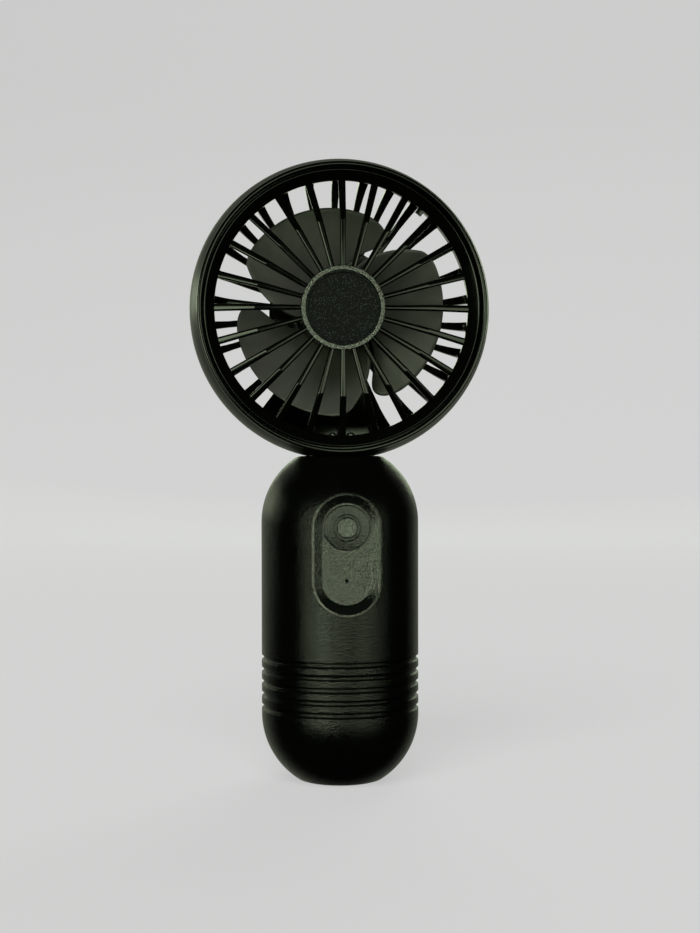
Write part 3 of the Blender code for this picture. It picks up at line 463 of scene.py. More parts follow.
slotFinish = {
    "textured_abs": "textured", "gloss_abs": "gloss", "satin_abs": "button", "panel_abs": "panel",
    "blade_plastic": "blade", "steel": "steel", "bronze": "bronze", "windings": "windings",
    "ferrite": "ferrite", "circuit_laminate": "laminate", "cell_can": "cell", "foam": "foam",
    "led_epoxy": "led", "switch_plastic": "switch",
}


def dressNodes():
    # every CAD node gets the finish of its slot, so the inner pieces are dressed too
    for part in frame["record"]["subparts"]:
        obj = frame["nodes"][part["node"]]
        obj.data.materials.clear()
        obj.data.materials.append(finish[slotFinish[part["material_slot"]]])


dressNodes()


# geometry node trees

def newTree(name, sockets):
    # sockets: (name, type, default); returns the tree and the outputs of its input node
    tree = bpy.data.node_groups.new(name, "GeometryNodeTree")
    tree.is_modifier = True
    tree.interface.new_socket("Geometry", in_out="OUTPUT", socket_type="NodeSocketGeometry")
    tree.interface.new_socket("Geometry", in_out="INPUT", socket_type="NodeSocketGeometry")
    for label, kind, default in sockets:
        made = tree.interface.new_socket(label, in_out="INPUT", socket_type=kind)
        if default is not None:
            made.default_value = default
    return tree, addNode(tree, "NodeGroupInput").outputs


def copiesOf(tree, given, points, turn, kept=True):
    # one instance of the given piece at each kept point, turned about Y
    piece = addNode(
        tree, "GeometryNodeObjectInfo", {"transform_space": "ORIGINAL"}, {"Object": given["Piece"]}
    )
    facing = addNode(tree, "ShaderNodeCombineXYZ", None, {"Y": turn})
    copies = addNode(
        tree, "GeometryNodeInstanceOnPoints", None,
        {"Points": points, "Selection": kept, "Instance": piece.outputs["Geometry"],
         "Rotation": facing.outputs["Vector"]},
    )
    return copies.outputs["Instances"]


def endTree(tree, given, geometry):
    # real geometry in the given material
    real = addNode(tree, "GeometryNodeRealizeInstances", None, {"Geometry": geometry})
    dressed = addNode(
        tree, "GeometryNodeSetMaterial", None,
        {"Geometry": real.outputs["Geometry"], "Material": given["Material"]},
    )
    addNode(tree, "NodeGroupOutput", None, {"Geometry": dressed.outputs["Geometry"]})
    return tree


def ringTree():
    # copies of a piece at even steps round the head's axis, leaving out those inside a gap
    tree, given = newTree("roundTheAxis", (
        ("Piece", "NodeSocketObject", None), ("Count", "NodeSocketInt", 24),
        ("First angle", "NodeSocketFloat", 0.0), ("Gap start", "NodeSocketFloat", 0.0),
        ("Gap end", "NodeSocketFloat", 0.0), ("Centre", "NodeSocketVector", None),
        ("Material", "NodeSocketMaterial", None),
    ))
    line = addNode(
        tree, "GeometryNodeMeshLine", {"mode": "OFFSET"},
        {"Count": given["Count"], "Offset": (0, 0, 0)},
    )
    spread = addNode(
        tree, "GeometryNodeSetPosition", None,
        {"Geometry": line.outputs["Mesh"], "Position": given["Centre"]},
    )
    number = addNode(tree, "GeometryNodeInputIndex").outputs["Index"]
    pitch = calculate(tree, "DIVIDE", 360.0, given["Count"])
    degrees = calculate(tree, "MULTIPLY_ADD", number, pitch, given["First angle"])
    after = calculate(tree, "GREATER_THAN", degrees, given["Gap start"])
    before = calculate(tree, "LESS_THAN", degrees, given["Gap end"])
    inside = calculate(tree, "MULTIPLY", after, before)
    kept = calculate(tree, "LESS_THAN", inside, 0.5)
    radians = calculate(tree, "RADIANS", degrees)
    turn = calculate(tree, "MULTIPLY", radians, -1.0)
    return endTree(tree, given, copiesOf(tree, given, spread.outputs["Geometry"], turn, kept))


def pointTree():
    # one copy of a piece at every point of the carrier mesh, such as a screw in each hole
    tree, given = newTree("atEachPoint", (
        ("Piece", "NodeSocketObject", None), ("Turn", "NodeSocketFloat", 0.0), ("Seed", "NodeSocketInt", 7),
        ("Material", "NodeSocketMaterial", None),
    ))
    chance = addNode(
        tree, "FunctionNodeRandomValue", {"data_type": "FLOAT"}, {"Seed": given["Seed"]}
    )
    turn = calculate(tree, "MULTIPLY", chance.outputs[1], given["Turn"])
    return endTree(tree, given, copiesOf(tree, given, given["Geometry"], turn))


def grooveTree():
    # presses evenly spaced finger grooves into a surface turned about Z
    tree, given = newTree("fingerGrooves", (
        ("Lowest", "NodeSocketFloat", 0.0), ("Pitch", "NodeSocketFloat", 1.0),
        ("Count", "NodeSocketInt", 5), ("Width", "NodeSocketFloat", 1.0),
        ("Depth", "NodeSocketFloat", 0.1), ("Material", "NodeSocketMaterial", None),
    ))
    position = addNode(tree, "GeometryNodeInputPosition").outputs["Position"]
    parts = addNode(tree, "ShaderNodeSeparateXYZ", None, {"Vector": position})
    above = calculate(tree, "SUBTRACT", parts.outputs["Z"], given["Lowest"])
    steps = calculate(tree, "DIVIDE", above, given["Pitch"])
    nearest = calculate(tree, "ROUND", steps)
    last = calculate(tree, "SUBTRACT", given["Count"], 1.0)
    nearest = calculate(tree, "MINIMUM", nearest, last)
    nearest = calculate(tree, "MAXIMUM", nearest, 0.0)
    middle = calculate(tree, "MULTIPLY", nearest, given["Pitch"])
    off = calculate(tree, "ABSOLUTE", calculate(tree, "SUBTRACT", above, middle))
    half = calculate(tree, "MULTIPLY", given["Width"], 0.5)
    share = calculate(tree, "DIVIDE", off, half)
    eased = addNode(
        tree, "ShaderNodeMapRange", {"interpolation_type": "SMOOTHSTEP"},
        {"Value": share, "From Min": 0.35, "From Max": 1.0, "To Min": 1.0, "To Max": 0.0},
    )
    inwards = calculate(tree, "MULTIPLY", eased.outputs["Result"], given["Depth"])
    radial = vector(tree, "MULTIPLY", {0: position, 1: (-1, -1, 0)})
    unit = vector(tree, "NORMALIZE", {0: radial.outputs[0]})
    push = vector(tree, "SCALE", {0: unit.outputs[0], "Scale": inwards})
    pressed = addNode(
        tree, "GeometryNodeSetPosition", None,
        {"Geometry": given["Geometry"], "Offset": push.outputs[0]},
    )
    return endTree(tree, given, pressed.outputs["Geometry"])


trees = {"ring": ringTree(), "points": pointTree(), "grooves": grooveTree()}


def useTree(obj, tree, values):
    # sets a modifier's inputs by socket identifier, before the object is first evaluated
    modifier = obj.modifiers.new(tree.name, "NODES")
    modifier.node_group = tree
    for item in tree.interface.items_tree:
        if item.item_type == "SOCKET" and item.in_out == "INPUT" and item.name in values:
            modifier[item.identifier] = values[item.name]
    return obj


def emptyMesh(name, points=((0, 0, 0),)):
    mesh = bpy.data.meshes.new(name)
    mesh.from_pydata([Vector(point) * mm for point in points], [], [])
    return newObject(name, mesh)


def aroundAxis(name, piece, count, material, firstAngle=0.0, gap=(0.0, 0.0), centre=axis):
    carrier = useTree(emptyMesh(name), trees["ring"], {
        "Piece": piece, "Count": count, "First angle": firstAngle, "Gap start": gap[0],
        "Gap end": gap[1], "Centre": centre * mm, "Material": material,
    })
    settle(carrier)
    bpy.data.objects.remove(piece, do_unlink=True)
    smooth(carrier)
    return carrier


def atPoints(name, piece, points, material, turn=0.0, seed=7):
    carrier = useTree(emptyMesh(name, points), trees["points"], {
        "Piece": piece, "Turn": math.radians(turn), "Seed": seed, "Material": material,
    })
    settle(carrier)
    smooth(carrier)
    return carrier


# handle

handle = {
    "footR": 11.15, "shoulderR": 11.6, "wall": 2.0, "edge": 0.6,
    "grooves": 5, "pitch": 3.33, "grooveWidth": 1.75, "grooveDepth": 0.6, "aboveDome": 2.0,
    "seam": 0.07, "seamRound": 0.22, "rows": 40, "columns": 110,
    "screwR": 2.3, "bossR": 3.3, "seat": 12.0, "ledge": 0.8, "shankR": 1.05, "inWall": 0.8, "slack": 0.04,
}
screwPlaces = ("lower_left", "lower_right", "upper_left", "upper_right")
handleScrews = [f"handle_screw_{spot}" for spot in screwPlaces]
lowDomeZ = math.sqrt(handleR ** 2 - handle["footR"] ** 2)
highDomeZ = handleTop - math.sqrt(handleR ** 2 - handle["shoulderR"] ** 2)


def gripOutline():
    # outer side from the shoulder's centre to the foot's centre, with the normal at each point
    trim = math.degrees(handle["edge"] / handleR)
    points = []

    def arcRun(centreZ, radius, middleR, start, end, count):
        for i in range(count + 1):
            turn = math.radians(start + (end - start) * i / count)
            across, up = math.cos(turn), math.sin(turn)
            points.append((middleR + radius * across, centreZ + radius * up, across, up))

    shoulderTurn = math.degrees(math.acos(handle["shoulderR"] / handleR))
    footTurn = math.degrees(math.acos(handle["footR"] / handleR))
    edge = handle["edge"]
    for share in (0.0, 0.5, 0.9):
        points.append((share * (handle["shoulderR"] - edge), handleTop, 0, 1))
    arcRun(handleTop - edge, edge, handle["shoulderR"] - edge, 90, shoulderTurn, 5)
    arcRun(highDomeZ, handleR, 0, shoulderTurn - trim, 0, handle["rows"])
    span = highDomeZ - lowDomeZ
    plainRows = 26
    grooveTop = handle["aboveDome"] + handle["pitch"] * (handle["grooves"] - 1) + handle["grooveWidth"]
    for i in range(1, plainRows):
        points.append((handleR, highDomeZ - (span - grooveTop) * i / plainRows, 1, 0))
    fineRows = 110
    for i in range(fineRows):
        points.append((handleR, lowDomeZ + grooveTop * (1 - i / fineRows), 1, 0))
    arcRun(lowDomeZ, handleR, 0, 0, -(footTurn - trim), handle["rows"])
    arcRun(edge, edge, handle["footR"] - edge, -footTurn, -90, 5)
    for share in (0.9, 0.5, 0.0):
        points.append((share * (handle["footR"] - edge), 0, 0, -1))
    return points


def columnTurns():
    # angles over half a turn, crowded near both ends where the seam's edge is rounded
    ease = handle["seamRound"]
    near = [math.degrees(ease * share / handleR) for share in (0.0, 0.12, 0.3, 0.55, 1.0)]
    count = handle["columns"]
    middle = [near[-1] + (180 - 2 * near[-1]) * i / count for i in range(1, count)]
    return near + middle + [180 - turn for turn in reversed(near)]


def halfShell(name, side):
    # one half of the grip, side -1 in front and 1 behind, open at the seam until it gets its wall
    rings = []
    seam, ease = handle["seam"], handle["seamRound"]
    squeeze = (handleR - seam) / handleR
    for radius, z, across, up in gripOutline():
        ring = []
        for turn in columnTurns():
            inside = max(0.0, ease - math.radians(min(turn, 180 - turn)) * handleR)
            drop = ease - math.sqrt(max(0.0, ease ** 2 - inside ** 2))
            r = max(0.0, radius - drop * across)
            x, y = r * math.cos(math.radians(turn)), r * math.sin(math.radians(turn))
            ring.append((x, side * (seam + y * squeeze), z - drop * up))
        rings.append(ring)
    shell = loft(name, rings, None, (False, False), False)
    # outward check on an open sheet: its middle point has to face away from the axis
    bpy.context.view_layer.update()
    mesh = shell.data
    middle = max(mesh.polygons, key=lambda face: side * face.center.y)
    if middle.normal.y * side < 0:
        mesh.flip_normals()
    useTree(shell, trees["grooves"], {
        "Lowest": (lowDomeZ + handle["aboveDome"]) * mm, "Pitch": handle["pitch"] * mm,
        "Count": handle["grooves"], "Width": handle["grooveWidth"] * mm,
        "Depth": handle["grooveDepth"] * mm, "Material": finish["textured"],
    })
    wall = shell.modifiers.new("Wall", "SOLIDIFY")
    wall.thickness = handle["wall"] * mm
    wall.offset = -1.0
    settle(shell)
    smooth(shell)
    return shell


def middleOf(node):
    # (x, z) of a piece's middle, such as the line that a screw runs along
    low, high = boxOf(node)
    return (low.x + high.x) / 2, (low.z + high.z) / 2


def gripY(x, z):
    # how far forward the grip's surface is at (x, z)
    over = max(0.0, z - highDomeZ)
    return -math.sqrt(handleR ** 2 - x ** 2 - over ** 2)


def screwBoss(x, z):
    # a counterbored tube whose outer end lies in the rear shell's wall
    low, ledge = handle["seat"], handle["seat"] + handle["ledge"]
    inner, outer, bore = handle["shankR"], handle["bossR"], handle["screwR"] - handle["slack"]
    rings = []
    for radius, level in (
        (inner, low), (outer, low), (outer, None), (bore, None), (bore, ledge), (inner, ledge), (inner, low)
    ):
        ring = []
        for i in range(48):
            turn = math.tau * i / 48
            across, up = x + radius * math.cos(turn), z + radius * math.sin(turn)
            ring.append((across, -gripY(across, up) - handle["inWall"] if level is None else level, up))
        rings.append(ring)
    return loft("boss", rings, None, (False, False))


def join(obj, others):
    # adds the others' faces to obj; solids that overlap stay as they are
    shape = bmesh.new()
    for piece in (obj, *others):
        shape.from_mesh(piece.data)
    shape.to_mesh(obj.data)
    shape.free()
    for piece in others:
        bpy.data.objects.remove(piece, do_unlink=True)
    smooth(obj)


def makeHandle():
    front = halfShell("handleFront", -1)
    opening = prism("opening", stadium(panelHigh.x + 0.2, panelLow.z + panelHigh.x, buttonZ), -30, -8)
    cut(front, [opening], solver="MANIFOLD")
    place(front, "housing", ["handle_front_shell"])

    rear = halfShell("handleRear", 1)
    holes = [middleOf(node) for node in handleScrews]
    drills = []
    for x, z in holes:
        drill = [(0, 5), (handle["screwR"], 5), (handle["screwR"], 30), (0, 30)]
        drills.append(turned("drill", drill, None, 48, Vector((x, 0, z))))
    portLow, portHigh = boxOf("charging_port")
    drills.append(prism("mouth", slotOutline(portLow, portHigh, 0.3), portLow.y + 1, 30))
    cut(rear, drills, solver="MANIFOLD")
    join(rear, [screwBoss(x, z) for x, z in holes])
    place(rear, "housing", ["handle_rear_shell"])


def slotOutline(low, high, grow):
    # the long rounded outline of the charging socket
    radius = (high.z - low.z) / 2
    middle, reach = (high.z + low.z) / 2, (high.x - low.x) / 2 - radius
    points = []
    for centre, start in ((reach, -90), (-reach, 90)):
        for i in range(17):
            turn = math.radians(start + 180 * i / 16)
            across, up = math.cos(turn) * (radius + grow), math.sin(turn) * (radius + grow)
            points.append((centre + across, middle + up))
    return points


makeHandle()
print("handle shells made")


# screws

screw = {
    "headR": 2.0, "head": 1.7, "shankR": 1.0, "thinShankR": 0.8, "arm": 0.62, "armHalf": 0.17, "sunk": 0.55,
}  # the last three are shares: of the head's radius for the cross, of its height for the depth


def crossScrew(name, headR, headFrontY, headBackY, shankR, tipY, outward):
    # a pan-head screw along Y with a cross recess; outward is +1 when its head faces +Y
    top = headBackY if outward > 0 else headFrontY
    under = headFrontY if outward > 0 else headBackY
    thick = abs(top - under)
    outline = rounded([
        (0, top, 0), (headR * 0.55, top, 0.3), (headR * 0.92, top - outward * thick * 0.3, headR * 0.12),
        (headR, under, 0.08), (shankR, under, 0), (shankR, tipY, 0.15), (0, tipY, 0),
    ])
    body = turned(name, outline, None, 48, Vector((0, 0, 0)))
    arm, half = headR * screw["arm"], headR * screw["armHalf"]
    deep = top - outward * thick * screw["sunk"]
    ends = sorted((deep, top + outward))
    flat = block("recessFlat", (-arm, ends[0], -half), (arm, ends[1], half))
    upright = block("recessUpright", (-half, ends[0], -arm), (half, ends[1], arm))
    return cut(body, [flat, upright])


def placeScrews(kind, nodes, headDeep, shankR, outward, headR=None, seed=7):
    # one pattern for a set of screws, turned by chance in each of its holes
    low, high = boxOf(nodes[0])
    top, tip = (high.y, low.y) if outward > 0 else (low.y, high.y)
    front, back = sorted((top, top - outward * headDeep))
    headR = headR or (high.x - low.x) / 2
    pattern = crossScrew(kind + "Pattern", headR, front, back, shankR, tip, outward)
    spots = [(x, 0, z) for x, z in map(middleOf, nodes)]
    placed = atPoints(kind + "Screws", pattern, spots, finish["steel"], 90, seed)
    place(placed, "housing", nodes)
    bpy.data.objects.remove(pattern, do_unlink=True)


def makeScrews():
    placeScrews("handle", handleScrews, screw["head"], screw["shankR"], 1, screw["headR"])
    for kind, headDeep, outward, seed in (("neck", 0.9, -1, 3), ("motor", 0.6, 1, 5)):
        nodes = [f"{kind}_screw_{side}" for side in ("left", "right")]
        placeScrews(kind, nodes, headDeep, screw["thinShankR"], outward, seed=seed)


makeScrews()
print("screws made")


# control panel

panel = {
    "lipOuter": 9.5, "lipInner": 8.8, "proud": 0.12, "floorR": 6.5, "floorY": -18.6, "floorEase": 0.7,
    "bodyR": 9.0, "pinholeR": 0.5, "wellR": 5.2,
}


def makePanel():
    lowZ = panelLow.z + panelHigh.x
    columns = []
    for (ux, uz), (cx, cz) in zip(stadium(1.0, lowZ, buttonZ), stadium(0.0, lowZ, buttonZ)):
        ux, uz = ux - cx, uz - cz

        def surface(radius):
            return gripY(radius * ux, cz + radius * uz)

        lipRadii = (panel["lipOuter"], panel["lipInner"])
        lipY = [max(surface(radius) - panel["proud"], -handleR) for radius in lipRadii]
        corners = [
            (panel["bodyR"], panelHigh.y, 0),
            (panel["bodyR"], surface(panel["bodyR"]) + 0.9, 0),
            (panel["lipOuter"], surface(panel["lipOuter"]) + 0.25, 0.05),
            (panel["lipOuter"], lipY[0], 0.12),
            (panel["lipInner"], lipY[1], 0.2),
            (panel["floorR"] + 0.1, panel["floorY"], panel["floorEase"]),
            (panel["floorR"] - 1.6, panel["floorY"], 0),
        ]
        line = rounded(corners)
        columns.append([(cx + radius * ux, y, cz + radius * uz) for radius, y in line])
    rings = [[column[i] for column in columns] for i in range(len(columns[0]))]
    body = loft("controlPanel", rings)
    cut(body, [
        turned(name, [(0, -25), (radius, -25), (radius, -10), (0, -10)], None, steps, Vector((0, 0, z)))
        for name, radius, steps, z in (
            ("well", panel["wellR"], 48, buttonZ), ("pinhole", panel["pinholeR"], 32, lowZ)
        )
    ])
    place(body, "housing", ["control_panel"], finish["panel"])


makePanel()


button = {"bezelR": 6.15, "collarR": 3.5, "collar": 0.28, "capR": 2.68, "gap": 0.07, "dish": 0.12}


def makeButton():
    centre = Vector((0, 0, buttonZ))
    front, back = bezelLow.y, bezelHigh.y
    flangeBack = panel["floorY"] - 0.1
    inner = button["capR"] + button["gap"]
    bezelOutline = rounded([
        (inner, back, 0), (inner, front - button["collar"], 0.12),
        (button["collarR"], front - button["collar"], 0.16), (button["collarR"] + 0.15, front, 0.1),
        (button["bezelR"] - 0.1, front, 0.3), (button["bezelR"], flangeBack, 0),
        (4.9, flangeBack, 0), (4.9, back, 0),
    ], closed=True)
    bezel = turned("buttonBezel", bezelOutline, None, 128, centre, closed=True)
    place(bezel, "housing", ["button_bezel"], finish["bezel"])
    capFront = buttonLow.y
    low, high = boxOf("power_button")
    capOutline = rounded([
        (0, capFront + button["dish"], 0), (button["capR"] * 0.55, capFront + button["dish"] * 0.5, 0.6),
        (button["capR"] - 0.12, capFront, 0.1), (button["capR"], capFront + 0.4, 0.2),
        (button["capR"], back + 0.3, 0), ((high.x - low.x) / 2, back + 0.3, 0),
        ((high.x - low.x) / 2, high.y, 0.1), (0, high.y, 0),
    ])
    cap = turned("powerButton", capOutline, None, 96, centre)
    place(cap, "power_button", ["power_button"], finish["button"])


makeButton()
print("panel and button made")


# charging socket

def makePort():
    low, high = boxOf("charging_port")
    depths = ((high.y, -0.12), (high.y, -0.32), (low.y + 1.0, -0.4))
    rings = [[(x, low.y, z) for x, z in slotOutline(low, high, -0.02)]]
    rings += [[(x, high.y - 0.15, z) for x, z in slotOutline(low, high, 0.0)]]
    for y, grow in depths:
        rings.append([(x, y, z) for x, z in slotOutline(low, high, grow)])
    shell = loft("chargingPort", rings)
    middle = (low.z + high.z) / 2
    tongue = block("tongue", (-3.3, low.y + 0.5, middle - 0.35), (3.3, high.y - 1.0, middle + 0.35), 0.12)
    cut(shell, [tongue], "UNION")
    place(shell, "housing", ["charging_port"], finish["steel"])


makePort()


# head housing

head = {
    "lipWidth": 1.25, "lipIn": 1.8, "lipRound": 0.6, "widestY": -1.0, "backR": 18.0, "wall": 1.6,
    "squareness": 0.75, "ledge": 1.2, "slotIn": 18.6, "slotEdge": 3.6,
    "ribs": 30, "ribWidth": (1.9, 2.6), "ribTurnR": 30.5, "ribForward": 1.0, "solid": (234, 294),
    "steps": 192, "pocketHalf": 8.8, "pocketY": (-5.3, 7.3), "cavityHalf": 7.3, "cavityY": (-3.8, 5.8),
}
frontY, backY = headLow.y, headHigh.y
lipR = headR - head["lipIn"]
mouthR = lipR - head["lipWidth"]
slotOuterR = headR - head["slotEdge"]


def bowlLine(inset, count):
    # a squared-off quarter ellipse from the widest ring round to the back plate
    points = []
    for i in range(count + 1):
        turn = math.radians(90 * i / count)
        across = (headR - head["backR"] - inset) * math.cos(turn) ** head["squareness"]
        along = (backY - head["widestY"] - inset) * math.sin(turn) ** head["squareness"]
        points.append((head["backR"] + across, head["widestY"] + along))
    return points


def wallLine(count):
    # the slight bulge of the side, from the lip back to the widest ring
    start = frontY + head["lipRound"]
    points = []
    for i in range(count):
        share = 1 - i / count
        along = head["widestY"] + (start - head["widestY"]) * share
        points.append((headR - head["lipIn"] * share ** 2, along))
    return points


def sectorOutline(innerR, outerR, start, end, segments=120):
    # part of a flat ring about the head's axis, as (x, z)
    points = []
    for radius, first, last in ((outerR, start, end), (innerR, end, start)):
        for i in range(segments + 1):
            turn = math.radians(first + (last - first) * i / segments)
            points.append((radius * math.cos(turn), axis.z + radius * math.sin(turn)))
    return points


def makeHead():
    ledgeY = grilleHigh.y + 0.1
    front = rounded([
        (mouthR - head["ledge"], ledgeY + 1.2, 0), (mouthR - head["ledge"], ledgeY, 0.1),
        (mouthR, ledgeY, 0), (mouthR, frontY, 0.5), (lipR, frontY, head["lipRound"]), (lipR, frontY + 1.0, 0),
    ])[:-1]
    outer = wallLine(14)[1:] + bowlLine(0, 36) + [(0, backY)]
    inner = [(0, backY - head["wall"])] + list(reversed(bowlLine(head["wall"], 36)))
    body = turned("headHousing", front + outer + inner, None, head["steps"], closed=True)
    start, end = head["solid"]
    window = prism("window", sectorOutline(head["slotIn"], slotOuterR, end, start + 360), 0, backY + 2)
    postTop = boxOf("neck_post")[1].z
    (pocketFront, pocketBack), (cavityFront, cavityBack) = head["pocketY"], head["cavityY"]
    pocket = block(
        "pocket", (-head["pocketHalf"], pocketFront, headLow.z - 2),
        (head["pocketHalf"], pocketBack, postTop + 1.8), 0.5,
    )
    underside = block("underside", (-30, -30, headLow.z - 30), (30, 30, handleTop + 0.05))
    cavity = block(
        "cavity", (-head["cavityHalf"], cavityFront, headLow.z - 3),
        (head["cavityHalf"], cavityBack, postTop + 0.3),
    )
    cut(body, [window])
    cut(body, [pocket], "UNION")
    cut(body, [underside, cavity])
    place(body, "housing", ["head_housing"], finish["head"])


def sweptBar(name, stations, rounding):
    # a bar through (radius, y, width, depth) stations in the XY plane, its edges eased.
    # its top runs through the stations and its body lies depth behind it, or in front if negative
    rings = []
    for i, (radius, y, width, depth) in enumerate(stations):
        before, after = stations[max(i - 1, 0)], stations[min(i + 1, len(stations) - 1)]
        run = (Vector(after[:2]) - Vector(before[:2])).normalized()
        down = Vector((-run.y, run.x))
        half = width / 2
        section = rounded([
            (half, 0, rounding), (-half, 0, rounding),
            (-half * 0.9, depth, rounding), (half * 0.9, depth, rounding),
        ], closed=True, segments=4)
        rings.append([(radius + down.x * s, y + down.y * s, side) for side, s in section])
    return loft(name, rings)


def makeRearRibs():
    # parallel-sided bars that carry on the bowl's curve across the window
    line = [p for p in bowlLine(0, 60) if head["slotIn"] - 1.5 < p[0] < slotOuterR + 1.2]
    path = [(head["slotIn"] - 1.2, backY - 0.02)] + list(reversed(line))
    narrow, wide = head["ribWidth"]
    stations = []
    for radius, y in path:
        outer = max(0.0, (radius - head["ribTurnR"]) / (slotOuterR - head["ribTurnR"]))
        stations.append((
            radius, y, narrow + (wide - narrow) * outer, -head["wall"] - head["ribForward"] * outer ** 2
        ))
    mesh = sweptBar("rearRib", stations, 0.35)
    start, end = head["solid"]
    pitch = 360 / head["ribs"]
    ribs = aroundAxis("rearRibs", mesh, head["ribs"], finish["head"], pitch / 2, (start + 1, end - 1))
    place(ribs, "housing", ["head_housing"])


makeHead()
makeRearRibs()
print("head made")


# front grille

grille = {
    "ribs": 24, "ribWidth": (1.35, 2.1), "ribDepth": (2.3, 1.5), "bendR": 24.0, "hubR": 11.45,
    "ringWidth": 3.25, "ringFront": -9.7, "ringInner": -7.7, "ringBack": -6.5, "faceY": -11.0,
    "badgeR": 10.05, "catchAngle": 51, "catch": 1.9, "catchHalf": 0.95,
}


def makeGrille():
    ringR = grilleHigh.x
    openR = ringR - grille["ringWidth"]
    hoop = turned("frontGrille", rounded([
        (openR, grille["ringInner"], 0.25), (ringR - 0.5, grille["ringFront"] + 0.1, 0.5),
        (ringR, grille["ringFront"] + 0.5, 0.2), (ringR, grille["ringBack"], 0.1),
        (openR, grille["ringBack"], 0.2),
    ], closed=True), None, 192, closed=True)
    spot = openR - 0.9
    turn = math.radians(grille["catchAngle"])
    half = grille["catchHalf"]
    catch = block("catch", (-0.6, grille["ringInner"], -half), (grille["catch"], -6.3, half), 0.15)
    catch.data.transform(
        Matrix.Translation(Vector((spot * math.cos(turn), 0, axis.z + spot * math.sin(turn))) * mm)
        @ Matrix.Rotation(-turn, 4, "Y")
    )
    cut(hoop, [catch], "UNION")
    place(hoop, "housing", ["front_grille"], finish["gloss"])

    recess = grille["badgeR"] + 0.12
    hub = turned("grilleHub", rounded([
        (0, grille["faceY"] + 1.3, 0), (recess, grille["faceY"] + 1.3, 0), (recess, grille["faceY"], 0.1),
        (grille["hubR"], grille["faceY"], 0.3), (grille["hubR"], grille["faceY"] + 2.6, 0.2),
        (0, grille["faceY"] + 2.6, 0),
    ]), None, 160)
    place(hub, "housing", ["front_grille"], finish["button"])

    face = grille["faceY"] + 0.3
    bend = rounded([
        (recess + 0.5, face, 0), (grille["bendR"], face, 3.0), (openR + 1.0, grille["ringInner"] + 0.2, 0)
    ], segments=10)
    (narrow, wide), (deep, thin) = grille["ribWidth"], grille["ribDepth"]
    stations = []
    for radius, y in bend:
        outer = (radius - recess) / (openR - recess)
        stations.append((radius, y, narrow + (wide - narrow) * outer, deep + (thin - deep) * outer))
    bar = sweptBar("frontRib", stations, 0.55)
    ribs = aroundAxis("frontRibs", bar, grille["ribs"], finish["gloss"])
    place(ribs, "housing", ["front_grille"])


makeGrille()


badge = {"rim": 0.55, "dish": 0.25}


def makeBadge():
    low, high = boxOf("hub_badge")
    radius = (high.x - low.x) / 2
    disc = turned("hubBadge", rounded([
        (0, low.y + badge["dish"], 0), (radius - badge["rim"] - 0.15, low.y + badge["dish"], 0.12),
        (radius - badge["rim"], low.y, 0.12), (radius, low.y, 0.15), (radius, high.y, 0.1), (0, high.y, 0),
    ]), None, 160)
    place(disc, "housing", ["hub_badge"], finish["badge"])


makeBadge()
print("grille made")


# impeller

blade = {
    "count": 3, "tipR": 29.4, "tipFall": 1.8, "measuredR": 23.6, "trailAngle": 285.0, "span": 114.0,
    "trailSweep": 2.13, "leadSweep": 2.74, "trailY": -2.0, "leadY": 9.8, "camber": 1.1, "thickness": 0.95,
    "trailCorner": (0.08, 1.2), "leadCorner": (0.32, 8.0), "columns": 56, "rows": 22,
}
hub = {"round": 1.2, "face": 1.2, "wall": 1.0, "bossR": 2.6, "boss": 2.0}
impellerLow, impellerHigh = boxOf("impeller")
magnetHigh = boxOf("magnet_ring")[1]
hubR = magnetHigh.x + 0.3 + hub["wall"]
hubFrontY = impellerLow.y + hub["boss"]
hubBackY = impellerHigh.y


def cornerCut(share, corner):
    reach, deep = corner
    inside = max(0.0, 1 - share / reach)
    return deep * (1 - math.sqrt(1 - inside ** 2))


def bladePoint(along, out):
    # along runs 0 to 1 from trailing to leading edge, out from root to tip
    root = hubR - 0.5
    tip = blade["tipR"] - blade["tipFall"] * along ** 2
    tip -= cornerCut(along, blade["trailCorner"]) + cornerCut(1 - along, blade["leadCorner"])
    radius = root + (tip - root) * out
    beyond = radius - blade["measuredR"]
    trail = blade["trailAngle"] - blade["trailSweep"] * beyond
    lead = blade["trailAngle"] - blade["span"] - blade["leadSweep"] * beyond
    turn = math.radians(trail + (lead - trail) * along)
    y = blade["trailY"] + (blade["leadY"] - blade["trailY"]) * along
    y += blade["camber"] * math.sin(math.pi * along)
    return (radius * math.cos(turn), y, radius * math.sin(turn))


def makeImpeller():
    rings = [
        [bladePoint(i / blade["columns"], j / blade["rows"]) for j in range(blade["rows"] + 1)]
        for i in range(blade["columns"] + 1)
    ]
    sheet = loft("bladeSheet", rings, None, (False, False), False)
    wall = sheet.modifiers.new("Thickness", "SOLIDIFY")
    wall.thickness = blade["thickness"] * mm
    wall.offset = 0.0
    ease = sheet.modifiers.new("Eased edges", "SUBSURF")
    ease.levels = 1
    ease.render_levels = 1
    settle(sheet)
    blades = aroundAxis("impellerBlades", sheet, blade["count"], finish["blade"])
    place(blades, "impeller", ["impeller"])

    inside = hubR - hub["wall"]
    # the hub cup is the same plastic as the grey-olive blades, but takes the black gloss finish: painted shade,
    # standing in for the deep shade it sits in
    cup = turned("impellerHub", rounded([
        (0, impellerLow.y, 0), (hub["bossR"], impellerLow.y, 0.4), (hub["bossR"] + 0.3, hubFrontY, 0.4),
        (hubR, hubFrontY, hub["round"]), (hubR, hubBackY, 0.2), (inside, hubBackY, 0.2),
        (inside, hubFrontY + hub["face"], 0.3), (1.3, hubFrontY + hub["face"], 0),
        (1.3, hubFrontY - 1.3, 0), (0, hubFrontY - 1.3, 0),
    ]), None, 128)
    place(cup, "impeller", ["impeller"], finish["gloss"])


makeImpeller()
print("impeller made")


# studio

